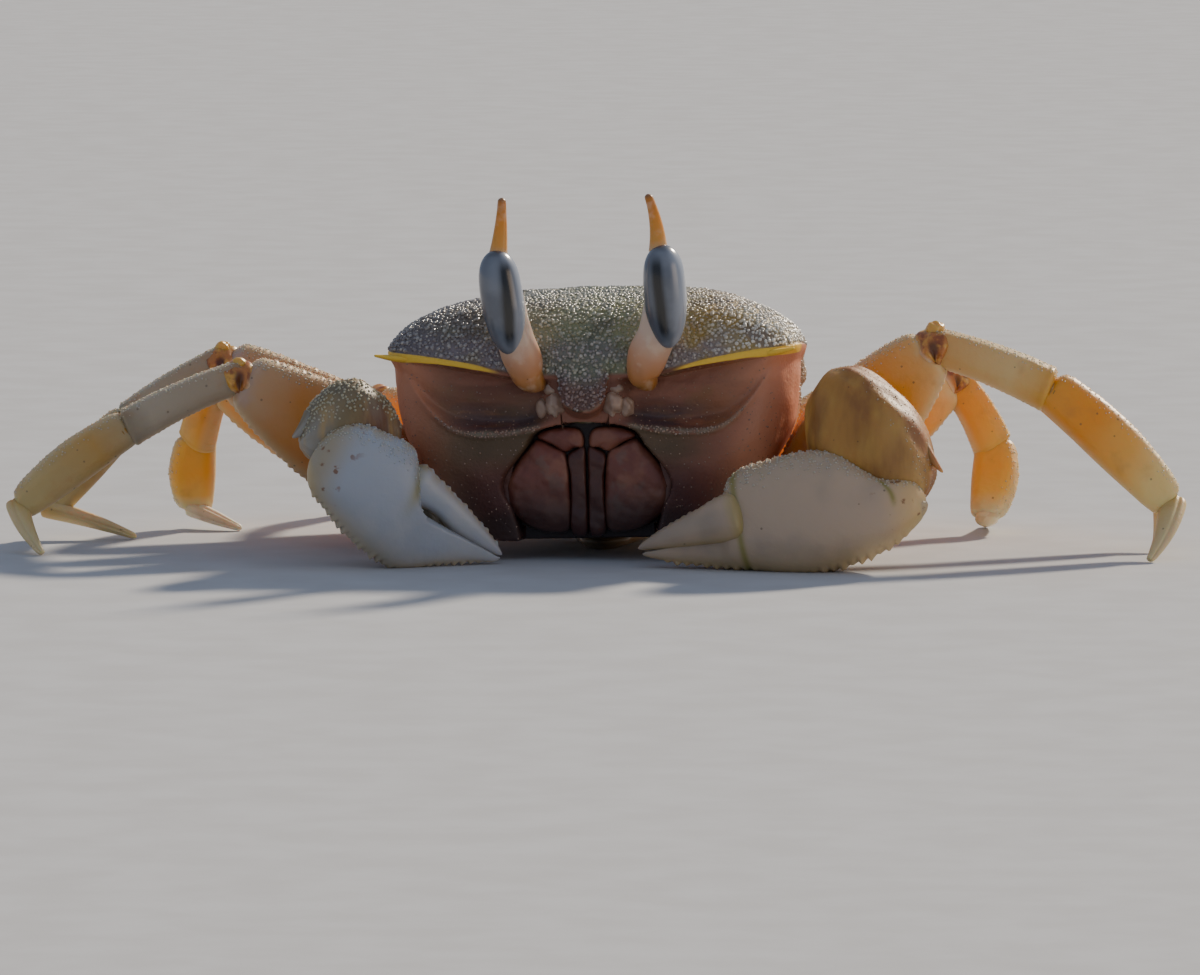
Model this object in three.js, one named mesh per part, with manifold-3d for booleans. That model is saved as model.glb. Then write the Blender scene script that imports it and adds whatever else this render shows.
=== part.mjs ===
// Horned ghost crab, life size, crouched on the floor with both claws folded in front of its face.
// Millimetres, +Z up. The crab faces -Y, its own left side is towards +X, and the origin lies on the
// floor under the middle of the belly.

import * as THREE from 'three';
import { LoftGeometry } from 'three/addons/geometries/LoftGeometry.js';
import { mergeVertices } from 'three/addons/utils/BufferGeometryUtils.js';
import Module from 'manifold-3d';

const wasm = await Module();
wasm.setup();

// ---------------------------------------------------------------- driving dimensions

const CARAPACE_WIDTH = 43;      // across the two corner spines
const CARAPACE_FRONT = 18.2;    // from the body's middle forward to the upper rim of the face
const CARAPACE_REAR = 17.6;     // from the body's middle back to the hind margin
const CARAPACE_TOP = 25.9;      // highest point of the back
const RIM_MIDDLE = 19.3;        // height of the face's upper rim beside the rostrum
const RIM_RISE = 0.095;         // how much that rim rises for each millimetre sideways
const RIM_REAR = 14.5;          // height of the hind margin
const BODY_YAW = -6;            // degrees, the face looks a little to the crab's own right
const BODY_ROLL = -1.5;         // degrees, the left side stands a little higher
const SEAM = 0.3;               // gap left between neighbouring plates

const ORBIT = { x: 11, z: 16.2, halfWidth: 8.4, halfHeight: 3.4, depth: 2.4 };
const MOUTH = { halfWidth: 8.6, top: 13.4, depth: 1.6 };

const SHELL_OLIVE = 0x8d8a6c;
const SHELL_BRICK = 0x8a5340;
const LEG_ORANGE = 0xe0a050;
const LEG_CREAM = 0xe6cf9a;
const CLAW_WHITE = 0xd9d2c6;
const STALK_PINK = 0xd9a083;
const EYE_GREY = 0x7d8794;
const HORN_ORANGE = 0xe08c1c;
const BELLY_CREAM = 0xcfc0a8;

// ---------------------------------------------------------------- small helpers

const vec = (x, y, z) => new THREE.Vector3(x, y, z);

const { lerp, degToRad } = THREE.MathUtils;

const clamp01 = (value) => Math.min(1, Math.max(0, value));

// 0 below `low`, 1 above `high`, with a smooth step between them.
function ramp(low, high, value) {
  const t = clamp01((value - low) / (high - low));
  return t * t * (3 - 2 * t);
}

// A power that keeps the sign of its base.
const signedPower = (base, power) => Math.sign(base) * Math.abs(base) ** power;

// The values of a table of rows [t, a, b, ...] at t, on a smooth curve through the rows.
function along(rows, t) {
  const last = rows.length - 1;
  let i = 0;
  while (i < last - 1 && t > rows[i + 1][0]) i++;
  const before = rows[Math.max(0, i - 1)];
  const from = rows[i];
  const to = rows[i + 1];
  const after = rows[Math.min(last, i + 2)];
  const span = to[0] - from[0];
  const s = clamp01((t - from[0]) / span);
  return from.slice(1).map((value, k) => {
    const next = to[k + 1];
    const slopeIn = (next - before[k + 1]) / (to[0] - before[0]) * span;
    const slopeOut = (after[k + 1] - value) / (after[0] - from[0]) * span;
    const blend = s * s * (3 - 2 * s);
    const easeIn = s * (1 - s) ** 2;
    const easeOut = s * s * (s - 1);
    return (1 - blend) * value + blend * next + easeIn * slopeIn + easeOut * slopeOut;
  });
}

function toManifold(geometry) {
  const bare = new THREE.BufferGeometry();
  bare.setAttribute('position', geometry.attributes.position);
  bare.setIndex(geometry.index);
  const merged = mergeVertices(bare, 1e-5);
  const mesh = new wasm.Mesh({
    numProp: 3,
    vertProperties: new Float32Array(merged.attributes.position.array),
    triVerts: new Uint32Array(merged.index.array),
  });
  return new wasm.Manifold(mesh);
}

function fromManifold(solid) {
  const mesh = solid.getMesh();
  const geometry = new THREE.BufferGeometry();
  geometry.setAttribute('position', new THREE.BufferAttribute(new Float32Array(mesh.vertProperties), 3));
  geometry.setIndex(new THREE.BufferAttribute(new Uint32Array(mesh.triVerts), 1));
  geometry.computeVertexNormals();
  return geometry;
}

// What lies below the floor is cut away, which leaves a true flat where a piece touches it.
const underFloor = toManifold(new THREE.BoxGeometry(200, 200, 20).translate(0, 0, -10));
const cutAtFloor = (solid) => fromManifold(solid.subtract(underFloor));

const crab = new THREE.Group();

function add(name, geometry, colour, roughness = 0.5) {
  const material = new THREE.MeshStandardMaterial({ color: colour, roughness, metalness: 0 });
  const mesh = new THREE.Mesh(geometry, material);
  mesh.name = name;
  crab.add(mesh);
  return mesh;
}

// ---------------------------------------------------------------- limbs

// One hard segment of a limb. Its axis runs from `start` to `end` and is bowed by `bow` towards `up`.
// Each row of `profile` is [t, above, below, half]: how far the segment reaches above and below its
// axis, and half its thickness. The section is an ellipse squared off by `square`. Sections stand at
// `stations` along the axis, evenly spaced unless they are given. `grow` makes it that much larger all
// over, which gives the clearance that a neighbour is cut to.
function segment({
  start, end, up, profile, bow = 0, scale = 1, sides = 8, rings = 6, stations, square = 0.85, grow = 0,
}) {
  const forward = end.clone().sub(start).normalize();
  const foot = start.clone().addScaledVector(forward, -grow);
  const axis = end.clone().addScaledVector(forward, grow).sub(foot);
  const side = up.clone().cross(forward).normalize();
  const lift = forward.clone().cross(side);
  const sections = [];
  for (const t of stations ?? Array.from({ length: rings + 1 }, (_, i) => i / rings)) {
    const [above, below, half] = along(profile, t);
    const centre = foot.clone().addScaledVector(axis, t).addScaledVector(lift, bow * 4 * t * (1 - t));
    const section = [];
    for (let j = 0; j < sides; j++) {
      const angle = j / sides * Math.PI * 2;
      const reach = Math.sin(angle) > 0 ? above : below;
      const across = signedPower(Math.cos(angle), square) * (half * scale + grow);
      const rise = signedPower(Math.sin(angle), square) * (reach * scale + grow);
      section.push(centre.clone().addScaledVector(side, across).addScaledVector(lift, rise));
    }
    sections.push(section);
  }
  return new LoftGeometry(sections, { capStart: true, capEnd: true });
}

// A segment as a solid, cut clear of the neighbours that bear on it: each is a segment's options.
function fitted(options, ...neighbours) {
  const clearances = neighbours.map((neighbour) => toManifold(segment({ ...neighbour, grow: SEAM })));
  return clearances.reduce((solid, clearance) => solid.subtract(clearance), toManifold(segment(options)));
}

const LEG_BOW = 0.45;           // how far the outer segments of a full-size leg are bowed

const LEG_BASE = [[0, 1.5, 1.5, 1.5], [0.3, 2.1, 2.1, 1.9], [0.7, 1.9, 1.9, 1.7], [1, 1.1, 1.1, 1.0]];
const MERUS = [[0, 1.3, 1.3, 0.9], [0.15, 3.1, 3.0, 1.5], [0.45, 4.9, 5.4, 2.1], [0.75, 4.0, 4.4, 2.2],
  [0.94, 3.0, 2.9, 2.0], [1, 2.3, 2.2, 1.6]];
const CARPUS = [[0, 1.3, 1.3, 1.0], [0.12, 1.9, 1.9, 1.5], [0.5, 2.35, 2.2, 1.7], [0.88, 2.5, 2.5, 1.75],
  [1, 1.9, 1.9, 1.3]];
const PROPODUS = [[0, 1.9, 1.9, 1.2], [0.1, 2.45, 2.45, 1.7], [0.5, 2.65, 2.6, 1.7], [0.9, 2.2, 2.2, 1.4],
  [1, 1.5, 1.5, 1.0]];
const DACTYL = [[0, 1.1, 1.1, 0.8], [0.12, 1.45, 1.35, 1.0], [0.6, 1.0, 0.9, 0.75], [1, 0.4, 0.4, 0.35]];

// Each walking leg by its joints: base on the breastplate, hip, knee, wrist, ankle and tip.
const LEGS = [
  { name: 'leg_left_1', scale: 1, joints: [[11.0, -5.7, 4.3], [17.4, -7.0, 5.6], [32.7, -10.0, 20.9],
    [44.6, -11.6, 16.6], [57.0, -12.2, 5.2], [54.0, -18.4, 0.2]] },
  { name: 'leg_left_2', scale: 0.97, joints: [[11.4, -0.8, 4.3], [18.0, -1.0, 5.6], [32.2, -1.0, 19.6],
    [43.8, -2.2, 15.0], [55.6, -3.2, 4.6], [55.0, -9.6, 0.2]] },
  { name: 'leg_left_3', scale: 0.92, joints: [[11.2, 4.0, 4.3], [17.2, 5.4, 5.4], [35.2, 12.0, 15.8],
    [39.6, 13.2, 8.6], [38.7, 8.8, 1.9], [38.9, 17.4, 0.3]] },
  { name: 'leg_left_4', scale: 0.72, joints: [[9.8, 8.6, 4.3], [14.4, 12.0, 5.0], [24.0, 20.5, 13.2],
    [27.0, 26.5, 9.4], [27.6, 31.5, 2.6], [24.4, 35.6, 0.1]] },
  { name: 'leg_right_1', scale: 1, joints: [[-11.2, -3.3, 4.2], [-17.4, -4.6, 5.5], [-37.4, -7.6, 17.7],
    [-49.0, -8.0, 12.4], [-60.2, -6.4, 4.4], [-57.2, -11.6, 0.2]] },
  { name: 'leg_right_2', scale: 0.97, joints: [[-11.4, 1.6, 4.3], [-18.0, 1.6, 5.6], [-39.4, 3.0, 18.4],
    [-49.4, 4.4, 12.0], [-57.4, 5.4, 3.0], [-48.4, 4.4, 0.3]] },
  { name: 'leg_right_3', scale: 0.92, joints: [[-11.0, 6.4, 4.3], [-17.2, 8.0, 5.4], [-40.2, 12.2, 15.6],
    [-42.6, 15.4, 8.8], [-42.8, 16.4, 1.9], [-38.0, 13.0, 0.3]] },
  { name: 'leg_right_4', scale: 0.72, joints: [[-9.4, 11.0, 4.3], [-14.0, 14.0, 5.0], [-24.0, 20.5, 13.0],
    [-26.6, 25.6, 9.4], [-26.8, 30.4, 2.6], [-24.0, 34.6, 0.1]] },
];

for (const { name, scale, joints } of LEGS) {
  const [start, hip, knee, wrist, ankle, tip] = joints.map((point) => vec(...point));
  const up = vec(0, 0, 1);
  const outward = vec(Math.sign(start.x), 0, 0.4);
  const bow = LEG_BOW * scale;
  const base = { start, end: hip, up, profile: LEG_BASE, scale, sides: 6, rings: 3 };
  const merus = { start: hip, end: knee, up, profile: MERUS, scale };
  const carpus = { start: knee, end: wrist, up, profile: CARPUS, scale, bow, rings: 5 };
  const propodus = { start: wrist, end: ankle, up: outward, profile: PROPODUS, scale, bow, rings: 5 };
  const dactyl = { start: ankle, end: tip, up: outward, profile: DACTYL, scale, bow, sides: 6, rings: 5 };
  add(`${name}_base`, fromManifold(fitted(base, merus)), LEG_ORANGE);
  add(`${name}_merus`, fromManifold(fitted(merus, carpus)), LEG_ORANGE);
  add(`${name}_carpus`, fromManifold(fitted(carpus, propodus)), LEG_CREAM);
  add(`${name}_propodus`, cutAtFloor(fitted(propodus, dactyl)), LEG_ORANGE);
  add(`${name}_dactyl`, cutAtFloor(fitted(dactyl)), LEG_CREAM);
}

// ---------------------------------------------------------------- the body's attitude

const roll = degToRad(BODY_ROLL);
const yaw = degToRad(BODY_YAW);
const bodyTurn = new THREE.Euler(0, roll, yaw, 'ZYX');
const bodyMatrix = new THREE.Matrix4().makeRotationFromEuler(bodyTurn);
const inBody = (geometry) => geometry.applyMatrix4(bodyMatrix);

// ---------------------------------------------------------------- eyes

// Each eye by the joints of its stalk in the body's own frame: foot, neck, middle of the cornea, foot
// of the horn and tip of the horn.
const EYES = [
  { name: 'left', foot: [5.7, -18.3, 17.8], neck: [7.0, -19.2, 21.4], middle: [8.35, -20.2, 26.6],
    crown: [7.65, -19.9, 31.5], tip: [6.75, -19.3, 36.9], hornBow: 0.3 },
  { name: 'right', foot: [-4.9, -18.3, 17.7], neck: [-6.1, -19.2, 21.4], middle: [-7.8, -20.2, 26.5],
    crown: [-8.05, -19.9, 31.3], tip: [-7.85, -19.3, 36.8], hornBow: -0.1 },
];
const CORNEA = { halfWidth: 2.15, halfHeight: 5.0 };
const STALK = [[0, 0.9, 0.9, 0.9], [0.2, 1.45, 1.45, 1.45], [0.7, 1.4, 1.4, 1.4], [1, 1.1, 1.1, 1.1]];
const HORN = [[0, 0.8, 0.8, 0.8], [0.2, 0.72, 0.72, 0.72], [0.75, 0.36, 0.36, 0.36], [0.92, 0.3, 0.3, 0.3],
  [1, 0.16, 0.16, 0.16]];

const alongStalk = ({ neck, middle }) => vec(...middle).sub(vec(...neck)).normalize();

// The stalk ends in the cup under the cornea.
function stalkOf(eye) {
  const cup = vec(...eye.middle).addScaledVector(alongStalk(eye), -CORNEA.halfHeight - SEAM);
  return { start: vec(...eye.foot), end: cup, up: vec(0, -1, 0), profile: STALK, rings: 5 };
}

for (const eye of EYES) {
  const { name, middle, crown, tip, hornBow } = eye;
  const stalk = stalkOf(eye);
  const eyeAxis = vec(...crown).sub(stalk.end).normalize();
  const tilt = new THREE.Quaternion().setFromUnitVectors(vec(0, 1, 0), eyeAxis);
  const cornea = new THREE.SphereGeometry(1, 12, 8)
    .scale(CORNEA.halfWidth, CORNEA.halfHeight, CORNEA.halfWidth)
    .applyQuaternion(tilt).translate(...middle);
  const horn = {
    start: vec(...crown).add(vec(0, 0, SEAM)), end: vec(...tip), up: vec(Math.sign(middle[0]), 0, 0),
    profile: HORN, bow: hornBow, square: 1, sides: 6,
  };
  add(`eyestalk_${name}`, inBody(segment(stalk)), STALK_PINK, 0.4);
  add(`eye_${name}`, inBody(cornea), EYE_GREY, 0.15);
  add(`horn_${name}`, inBody(segment(horn)), HORN_ORANGE, 0.35);
}

// ---------------------------------------------------------------- mouth, breastplate and abdomen

const MAXILLIPED = { back: -16.3, thickness: 1.1, bevel: 0.35 };

// Half of the mouth's double door: a plate with a straight inner edge and a swollen outer edge.
// `grow` makes it that much larger all over.
function maxilliped(side, grow = 0) {
  const door = new THREE.Shape();
  door.moveTo(side * 0.5, 3.2);
  door.lineTo(side * 4.6, 3.2);
  door.bezierCurveTo(side * 8.4, 4.0, side * 8.4, 7.6, side * 6.8, 10.0);
  door.bezierCurveTo(side * 6.0, 11.4, side * 5.4, 12.6, side * 3.6, 12.7);
  door.lineTo(side * 0.5, 12.8);
  const plate = new THREE.ExtrudeGeometry(door, {
    depth: MAXILLIPED.thickness, bevelSize: MAXILLIPED.bevel + grow, bevelThickness: MAXILLIPED.bevel + grow,
    bevelSegments: 1, curveSegments: 5,
  });
  return plate.rotateX(Math.PI / 2).translate(0, MAXILLIPED.back - MAXILLIPED.bevel, 0);
}

add('maxilliped_left', inBody(maxilliped(1)), SHELL_BRICK);
add('maxilliped_right', inBody(maxilliped(-1)), SHELL_BRICK);

const STERNUM = { bottom: 1.7, height: 4.3, front: -11.0, halfWidth: 9.6, rear: 10.4 };

// The breastplate between the leg bases, pointed towards the mouth.
function sternum() {
  const plan = new THREE.Shape();
  const { front, halfWidth, rear } = STERNUM;
  plan.moveTo(-2.5, front);
  plan.lineTo(2.5, front);
  plan.quadraticCurveTo(halfWidth, front + 2, halfWidth, -4);
  plan.lineTo(halfWidth - 0.6, 5);
  plan.quadraticCurveTo(halfWidth - 2, rear, 3, rear);
  plan.lineTo(-3, rear);
  plan.quadraticCurveTo(2 - halfWidth, rear, 0.6 - halfWidth, 5);
  plan.lineTo(-halfWidth, -4);
  plan.quadraticCurveTo(-halfWidth, front + 2, -2.5, front);
  const options = { depth: STERNUM.height, bevelEnabled: false, curveSegments: 4 };
  const plate = new THREE.ExtrudeGeometry(plan, options);
  return plate.translate(0, 0, STERNUM.bottom);
}

// The abdomen is a strap folded under the body: down behind the shell, then forward along the belly.
// Each row of its profile is [t, half width, half thickness].
const ABDOMEN_PATH = [[0, 17.3, 9.6], [0, 16.2, 5.6], [0, 13.6, 2.0], [0, 9.6, 0.72], [0, 0, 0.66],
  [0, -8.2, 0.66]];
const ABDOMEN = [[0, 7.5, 0.5], [0.2, 8.0, 0.6], [0.4, 6.0, 0.65], [0.55, 4.6, 0.7], [0.85, 3.0, 0.7],
  [1, 1.2, 0.6]];
const ABDOMEN_RINGS = 12;

function abdomen() {
  const path = new THREE.CatmullRomCurve3(ABDOMEN_PATH.map((point) => vec(...point)));
  const sections = [];
  for (let i = 0; i <= ABDOMEN_RINGS; i++) {
    const t = i / ABDOMEN_RINGS;
    const [half, thick] = along(ABDOMEN, t);
    const centre = path.getPointAt(t);
    const outward = path.getTangentAt(t).cross(vec(1, 0, 0));
    const corners = [[-1, 0], [-0.75, -1], [0.75, -1], [1, 0], [0.75, 1], [-0.75, 1]];
    sections.push(corners.map(([across, rise]) =>
      centre.clone().addScaledVector(outward, rise * thick).add(vec(across * half, 0, 0))));
  }
  return new LoftGeometry(sections, { capStart: true, capEnd: true });
}

add('sternum', sternum().rotateZ(yaw), BELLY_CREAM);
add('abdomen', cutAtFloor(toManifold(abdomen().rotateZ(yaw))), BELLY_CREAM);

// ---------------------------------------------------------------- claws

const CLAW_MERUS = [[0, 1.5, 1.5, 1.3], [0.15, 2.6, 2.6, 2.0], [0.6, 3.6, 3.6, 2.7], [0.92, 2.9, 2.9, 2.4],
  [1, 1.6, 1.6, 1.4]];

// Each claw piece by the ends of its axis, the way its height points, and the profile along it.
const CLAWS = [
  { name: 'claw_left',
    merus: { start: vec(15.4, -12.2, 4.6), end: vec(24.4, -19.4, 17.2), up: vec(0, -0.4, 1), scale: 1.1 },
    carpus: { start: vec(23.2, -20.6, 18.6), end: vec(30.4, -25.6, 9.4), up: vec(1, -0.3, 0.8),
      profile: [[0, 1.5, 1.5, 1.5], [0.15, 3.2, 3.6, 3.0], [0.5, 4.7, 5.6, 4.0], [0.85, 3.6, 4.2, 3.2],
        [1, 1.6, 1.6, 1.6]] },
    spine: { start: vec(31.0, -24.6, 13.0), end: vec(32.8, -26.2, 10.0) },
    palm: { start: vec(31.3, -27.6, 7.3), end: vec(3.2, -23.2, 1.4), up: vec(0, 0.25, 1),
      stations: [0, 0.05, 0.14, 0.28, 0.42, 0.54, 0.63, 0.68, 0.72, 0.8, 0.9, 1],
      profile: [[0, 1.2, 1.2, 0.9], [0.05, 2.3, 2.4, 2.0], [0.14, 2.9, 3.9, 2.9], [0.28, 6.2, 4.9, 3.5],
        [0.42, 6.9, 5.2, 3.6], [0.54, 6.7, 4.5, 3.4], [0.63, 6.3, 3.6, 3.0], [0.68, 4.6, 3.2, 2.6],
        [0.72, -0.2, 2.9, 1.7], [0.8, -0.2, 2.2, 1.2], [0.9, -0.15, 1.3, 0.9], [1, 0.05, 0.3, 0.35]] },
    finger: { start: vec(11.6, -26.2, 5.9), end: vec(2.8, -23.0, 2.2), up: vec(0, 0.25, 1),
      profile: [[0, 1.6, 1.8, 1.2], [0.15, 2.3, 2.0, 1.6], [0.4, 1.9, 1.3, 1.4], [0.75, 1.0, 0.5, 0.9],
        [1, 0.25, 0.2, 0.3]] } },
  { name: 'claw_right',
    merus: { start: vec(-15.4, -10.4, 4.6), end: vec(-24.8, -16.4, 12.4), up: vec(0, -0.4, 1), scale: 0.9 },
    carpus: { start: vec(-21.0, -18.4, 12.9), end: vec(-30.8, -23.0, 12.6), up: vec(0, -0.2, 1),
      profile: [[0, 1.6, 1.5, 1.4], [0.2, 4.2, 2.6, 2.6], [0.5, 6.0, 3.0, 3.2], [0.8, 4.6, 2.4, 2.8],
        [1, 1.6, 1.2, 1.4]] },
    spine: { start: vec(-30.6, -22.4, 14.2), end: vec(-32.4, -23.0, 12.9) },
    palm: { start: vec(-29.6, -25.4, 11.3), end: vec(-11.0, -19.6, 0.6), up: vec(0.5, 0.2, 0.86),
      stations: [0, 0.06, 0.16, 0.28, 0.4, 0.48, 0.54, 0.62, 0.74, 0.88, 1],
      profile: [[0, 2.2, 1.0, 1.0], [0.06, 4.2, 2.8, 2.0], [0.16, 5.3, 3.8, 2.9], [0.28, 5.5, 4.9, 3.3],
        [0.4, 5.5, 5.6, 3.3], [0.48, 3.2, 5.8, 3.0], [0.54, 0.6, 6.0, 2.6], [0.62, -0.4, 5.4, 1.9],
        [0.74, -0.6, 3.6, 1.4], [0.88, -0.5, 1.7, 0.9], [1, 0.0, 0.5, 0.35]] },
    finger: { start: vec(-19.2, -22.0, 8.2), end: vec(-10.6, -19.2, 1.0), up: vec(0.65, 0.1, 0.75),
      profile: [[0, 1.0, 1.0, 1.0], [0.1, 1.8, 1.2, 1.5], [0.3, 1.5, 1.5, 1.4], [0.6, 0.9, 1.5, 1.1],
        [0.85, 0.5, 0.9, 0.7], [1, 0.2, 0.25, 0.3]] } },
];
const SPINE = [[0, 1.4, 1.0, 1.0], [0.5, 0.6, 0.5, 0.5], [1, 0.1, 0.1, 0.12]];

const CLAW_MERUS_FORM = { profile: CLAW_MERUS, sides: 10, rings: 6 };

for (const { name, merus, carpus, spine, palm, finger } of CLAWS) {
  const arm = { ...merus, ...CLAW_MERUS_FORM };
  const elbow = { ...carpus, rings: 6, sides: 10 };
  const hand = { ...palm, sides: 10 };
  const thumb = { ...finger, sides: 8 };
  const thorn = toManifold(segment({ ...spine, up: vec(0, 0, 1), profile: SPINE, sides: 6, rings: 3 }));
  add(`${name}_merus`, fromManifold(fitted(arm, elbow)), LEG_ORANGE);
  add(`${name}_carpus`, fromManifold(fitted(elbow, hand).add(thorn)), LEG_ORANGE);
  add(`${name}_palm`, cutAtFloor(fitted(hand, thumb)), CLAW_WHITE);
  add(`${name}_finger`, cutAtFloor(fitted(thumb)), CLAW_WHITE);
}

// ---------------------------------------------------------------- carapace

// Distance from the body's middle to the edge of the back, at `angle` round the body (0 is the left
// side, -90 degrees the face): a superellipse, squarer and wider in front than behind.
function planRadius(angle) {
  const c = Math.cos(angle);
  const s = Math.sin(angle);
  const back = ramp(-0.5, 0.7, s);
  const halfWidth = CARAPACE_WIDTH / 2 * (0.952 - 0.03 * back);
  const halfLength = s < 0 ? CARAPACE_FRONT : CARAPACE_REAR;
  const squareness = 9 - 6.7 * back;
  const sum = Math.abs(c / halfWidth) ** squareness + Math.abs(s / halfLength) ** squareness;
  return sum ** (-1 / squareness);
}

// Height of the edge of the back at a point (x, y).
function rimHeight(x, y) {
  const front = RIM_MIDDLE + RIM_RISE * Math.abs(x);
  return lerp(front, RIM_REAR, ramp(-14, 16, y));
}

// The face is hollowed by the two orbits and by the mouth frame.
function faceHollow(x, z) {
  const across = Math.abs(x);
  const orbitRadius = Math.hypot((across - ORBIT.x) / ORBIT.halfWidth, (z - ORBIT.z) / ORBIT.halfHeight);
  const orbit = ORBIT.depth * ramp(1.05, 0.55, orbitRadius);
  const inner = ORBIT.depth * ramp(3.4, 4.2, across) * ramp(9, 7, across) * ramp(14.2, 15.4, z);
  const mouth = MOUTH.depth * ramp(MOUTH.halfWidth + 0.6, MOUTH.halfWidth - 0.4, across)
    * ramp(MOUTH.top + 0.5, MOUTH.top - 0.5, z);
  return Math.max(orbit, inner) + mouth;
}

const BACK_MIDDLE_Y = -2;
const WALL_FOOT = { front: 2.2, side: 8.3, rear: 6.2 };
const WALL_LEVELS = [0, 0.16, 0.32, 0.48, 0.62, 0.76, 0.88, 0.97];
const BACK_LEVELS = [1, 0.96, 0.86, 0.68, 0.42, 0.15];
const CARAPACE_SIDES = 40;

// One closed ring of the shell: `place` puts a point for each angle and edge distance.
function carapaceRing(place) {
  const ring = [];
  for (let j = 0; j < CARAPACE_SIDES; j++) {
    const turn = j / CARAPACE_SIDES * Math.PI * 2;
    // the columns crowd together towards the face
    const angle = turn - 0.35 * Math.cos(turn);
    ring.push(place(angle, planRadius(angle)));
  }
  return ring;
}

// A level ring under the shell, `size` of the back's own outline.
const underside = (size, height) => carapaceRing((angle, radius) =>
  vec(size * radius * Math.cos(angle), size * radius * Math.sin(angle), height));

// The wall under the edge of the back: 0 at its foot, 1 at the rim.
function wallPoint(angle, radius, level) {
  const edge = vec(radius * Math.cos(angle), radius * Math.sin(angle), 0);
  const front = ramp(-0.56, -0.86, Math.sin(angle));
  const flank = lerp(WALL_FOOT.side, WALL_FOOT.rear, ramp(0.2, 0.8, Math.sin(angle)));
  const foot = lerp(flank, WALL_FOOT.front, front);
  const height = lerp(foot, rimHeight(edge.x, edge.y) - 0.5 * level, level);
  const narrow = lerp(0.74, 0.97, 1 - (1 - level) ** 2.2);
  const shorten = lerp(narrow, 0.95 + 0.045 * ramp(0, 0.5, level), front);
  const point = vec(edge.x * narrow, edge.y * shorten, height);
  point.y += front * faceHollow(point.x, point.z);
  return point;
}

// The domed back: `size` is 1 at the rim and 0 in the middle.
function backPoint(angle, radius, size) {
  const rim = vec(radius * Math.cos(angle), radius * Math.sin(angle), 0);
  const height = lerp(rimHeight(rim.x, rim.y), CARAPACE_TOP, (1 - size ** 4.6) ** 0.7);
  return vec(rim.x * size, lerp(BACK_MIDDLE_Y, rim.y, size), height);
}

// The narrow rostrum, bent down between the eyes.
const ROSTRUM = {
  start: vec(0, -16.6, 21.4), end: vec(0, -19.6, 15.2), up: vec(0, -1, 0.3), bow: 0.7,
  profile: [[0, 1.2, 1.5, 3.0], [0.5, 0.8, 1.5, 2.4], [0.85, 0.7, 1.0, 2.1], [1, 0.3, 0.4, 1.0]],
};

const cornerSpine = (side) => segment({
  start: vec(side * 18.6, -16.4, 20.5), end: vec(side * 21.5, -17.6, 21.2), up: vec(0, 0, 1),
  profile: [[0, 0.7, 0.9, 1.6], [0.5, 0.45, 0.6, 1.0], [1, 0.12, 0.12, 0.15]], sides: 6, rings: 3,
});

// The folded antennule beside the rostrum's tip.
const antennule = (side) => segment({
  start: vec(side * 2.5, -16.2, 16.9), end: vec(side * 2.6, -18.6, 14.9), up: vec(0, 0, 1),
  profile: [[0, 0.9, 0.9, 0.7], [0.7, 1.0, 0.9, 0.75], [1, 0.4, 0.4, 0.4]], sides: 6, rings: 3,
});

function carapace() {
  const sections = [
    underside(0.3, 6.9),
    underside(0.62, 7),
    ...WALL_LEVELS.map((level) => carapaceRing((angle, radius) => wallPoint(angle, radius, level))),
    ...BACK_LEVELS.map((size) => carapaceRing((angle, radius) => backPoint(angle, radius, size))),
  ];
  const pieces = [new LoftGeometry(sections, { capStart: true, capEnd: true }), segment(ROSTRUM)];
  for (const side of [-1, 1]) {
    pieces.push(cornerSpine(side), antennule(side));
  }
  return pieces.map((piece) => toManifold(inBody(piece))).reduce((whole, piece) => whole.add(piece));
}

const clearOf = [
  ...EYES.map((eye) => toManifold(inBody(segment({ ...stalkOf(eye), grow: SEAM })))),
  ...[-1, 1].map((side) => toManifold(inBody(maxilliped(side, SEAM)))),
  ...CLAWS.map(({ merus }) => toManifold(segment({ ...merus, ...CLAW_MERUS_FORM, grow: SEAM }))),
];
const shell = clearOf.reduce((whole, piece) => whole.subtract(piece), carapace());
add('carapace', fromManifold(shell), SHELL_OLIVE, 0.6);

export default crab;
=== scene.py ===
"""Horned ghost crab: the visible pieces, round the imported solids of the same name.

Lengths in the tables are millimetres and are turned to metres when a mesh is made. +Z is up, the crab
faces -Y and its own left side is towards +X.
"""

import math

import bpy
import numpy as np
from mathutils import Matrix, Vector


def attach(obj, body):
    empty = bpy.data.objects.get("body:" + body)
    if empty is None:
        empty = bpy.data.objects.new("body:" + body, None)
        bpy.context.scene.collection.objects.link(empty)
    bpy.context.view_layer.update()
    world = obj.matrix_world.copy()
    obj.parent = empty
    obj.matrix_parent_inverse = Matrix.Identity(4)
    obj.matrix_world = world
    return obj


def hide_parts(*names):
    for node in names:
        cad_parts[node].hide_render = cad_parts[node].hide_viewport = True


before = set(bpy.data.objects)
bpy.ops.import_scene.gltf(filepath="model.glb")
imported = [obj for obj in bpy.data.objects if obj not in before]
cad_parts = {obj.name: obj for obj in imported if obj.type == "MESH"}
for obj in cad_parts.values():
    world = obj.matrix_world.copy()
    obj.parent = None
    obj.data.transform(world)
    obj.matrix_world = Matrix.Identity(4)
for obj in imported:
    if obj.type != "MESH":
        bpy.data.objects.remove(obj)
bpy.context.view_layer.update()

bl_info = {
    "name": "Horned Ghost Crab",
    "version": (1, 0, 0),
    "blender": (4, 5, 0),
    "location": "View3D > Sidebar > Ghost Crab",
    "description": "Builds the shell, eyes, mouth, claws and legs of a life-size ghost crab",
    "category": "Add Mesh",
}

MM = 0.001
TAU = 2 * math.pi
SEED = 7
TOP = math.pi / 2           # the crest of a limb's section, as an angle round it
BOTTOM = -math.pi / 2       # and its keel


# ---------------------------------------------------------------- colours and node helpers

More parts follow.
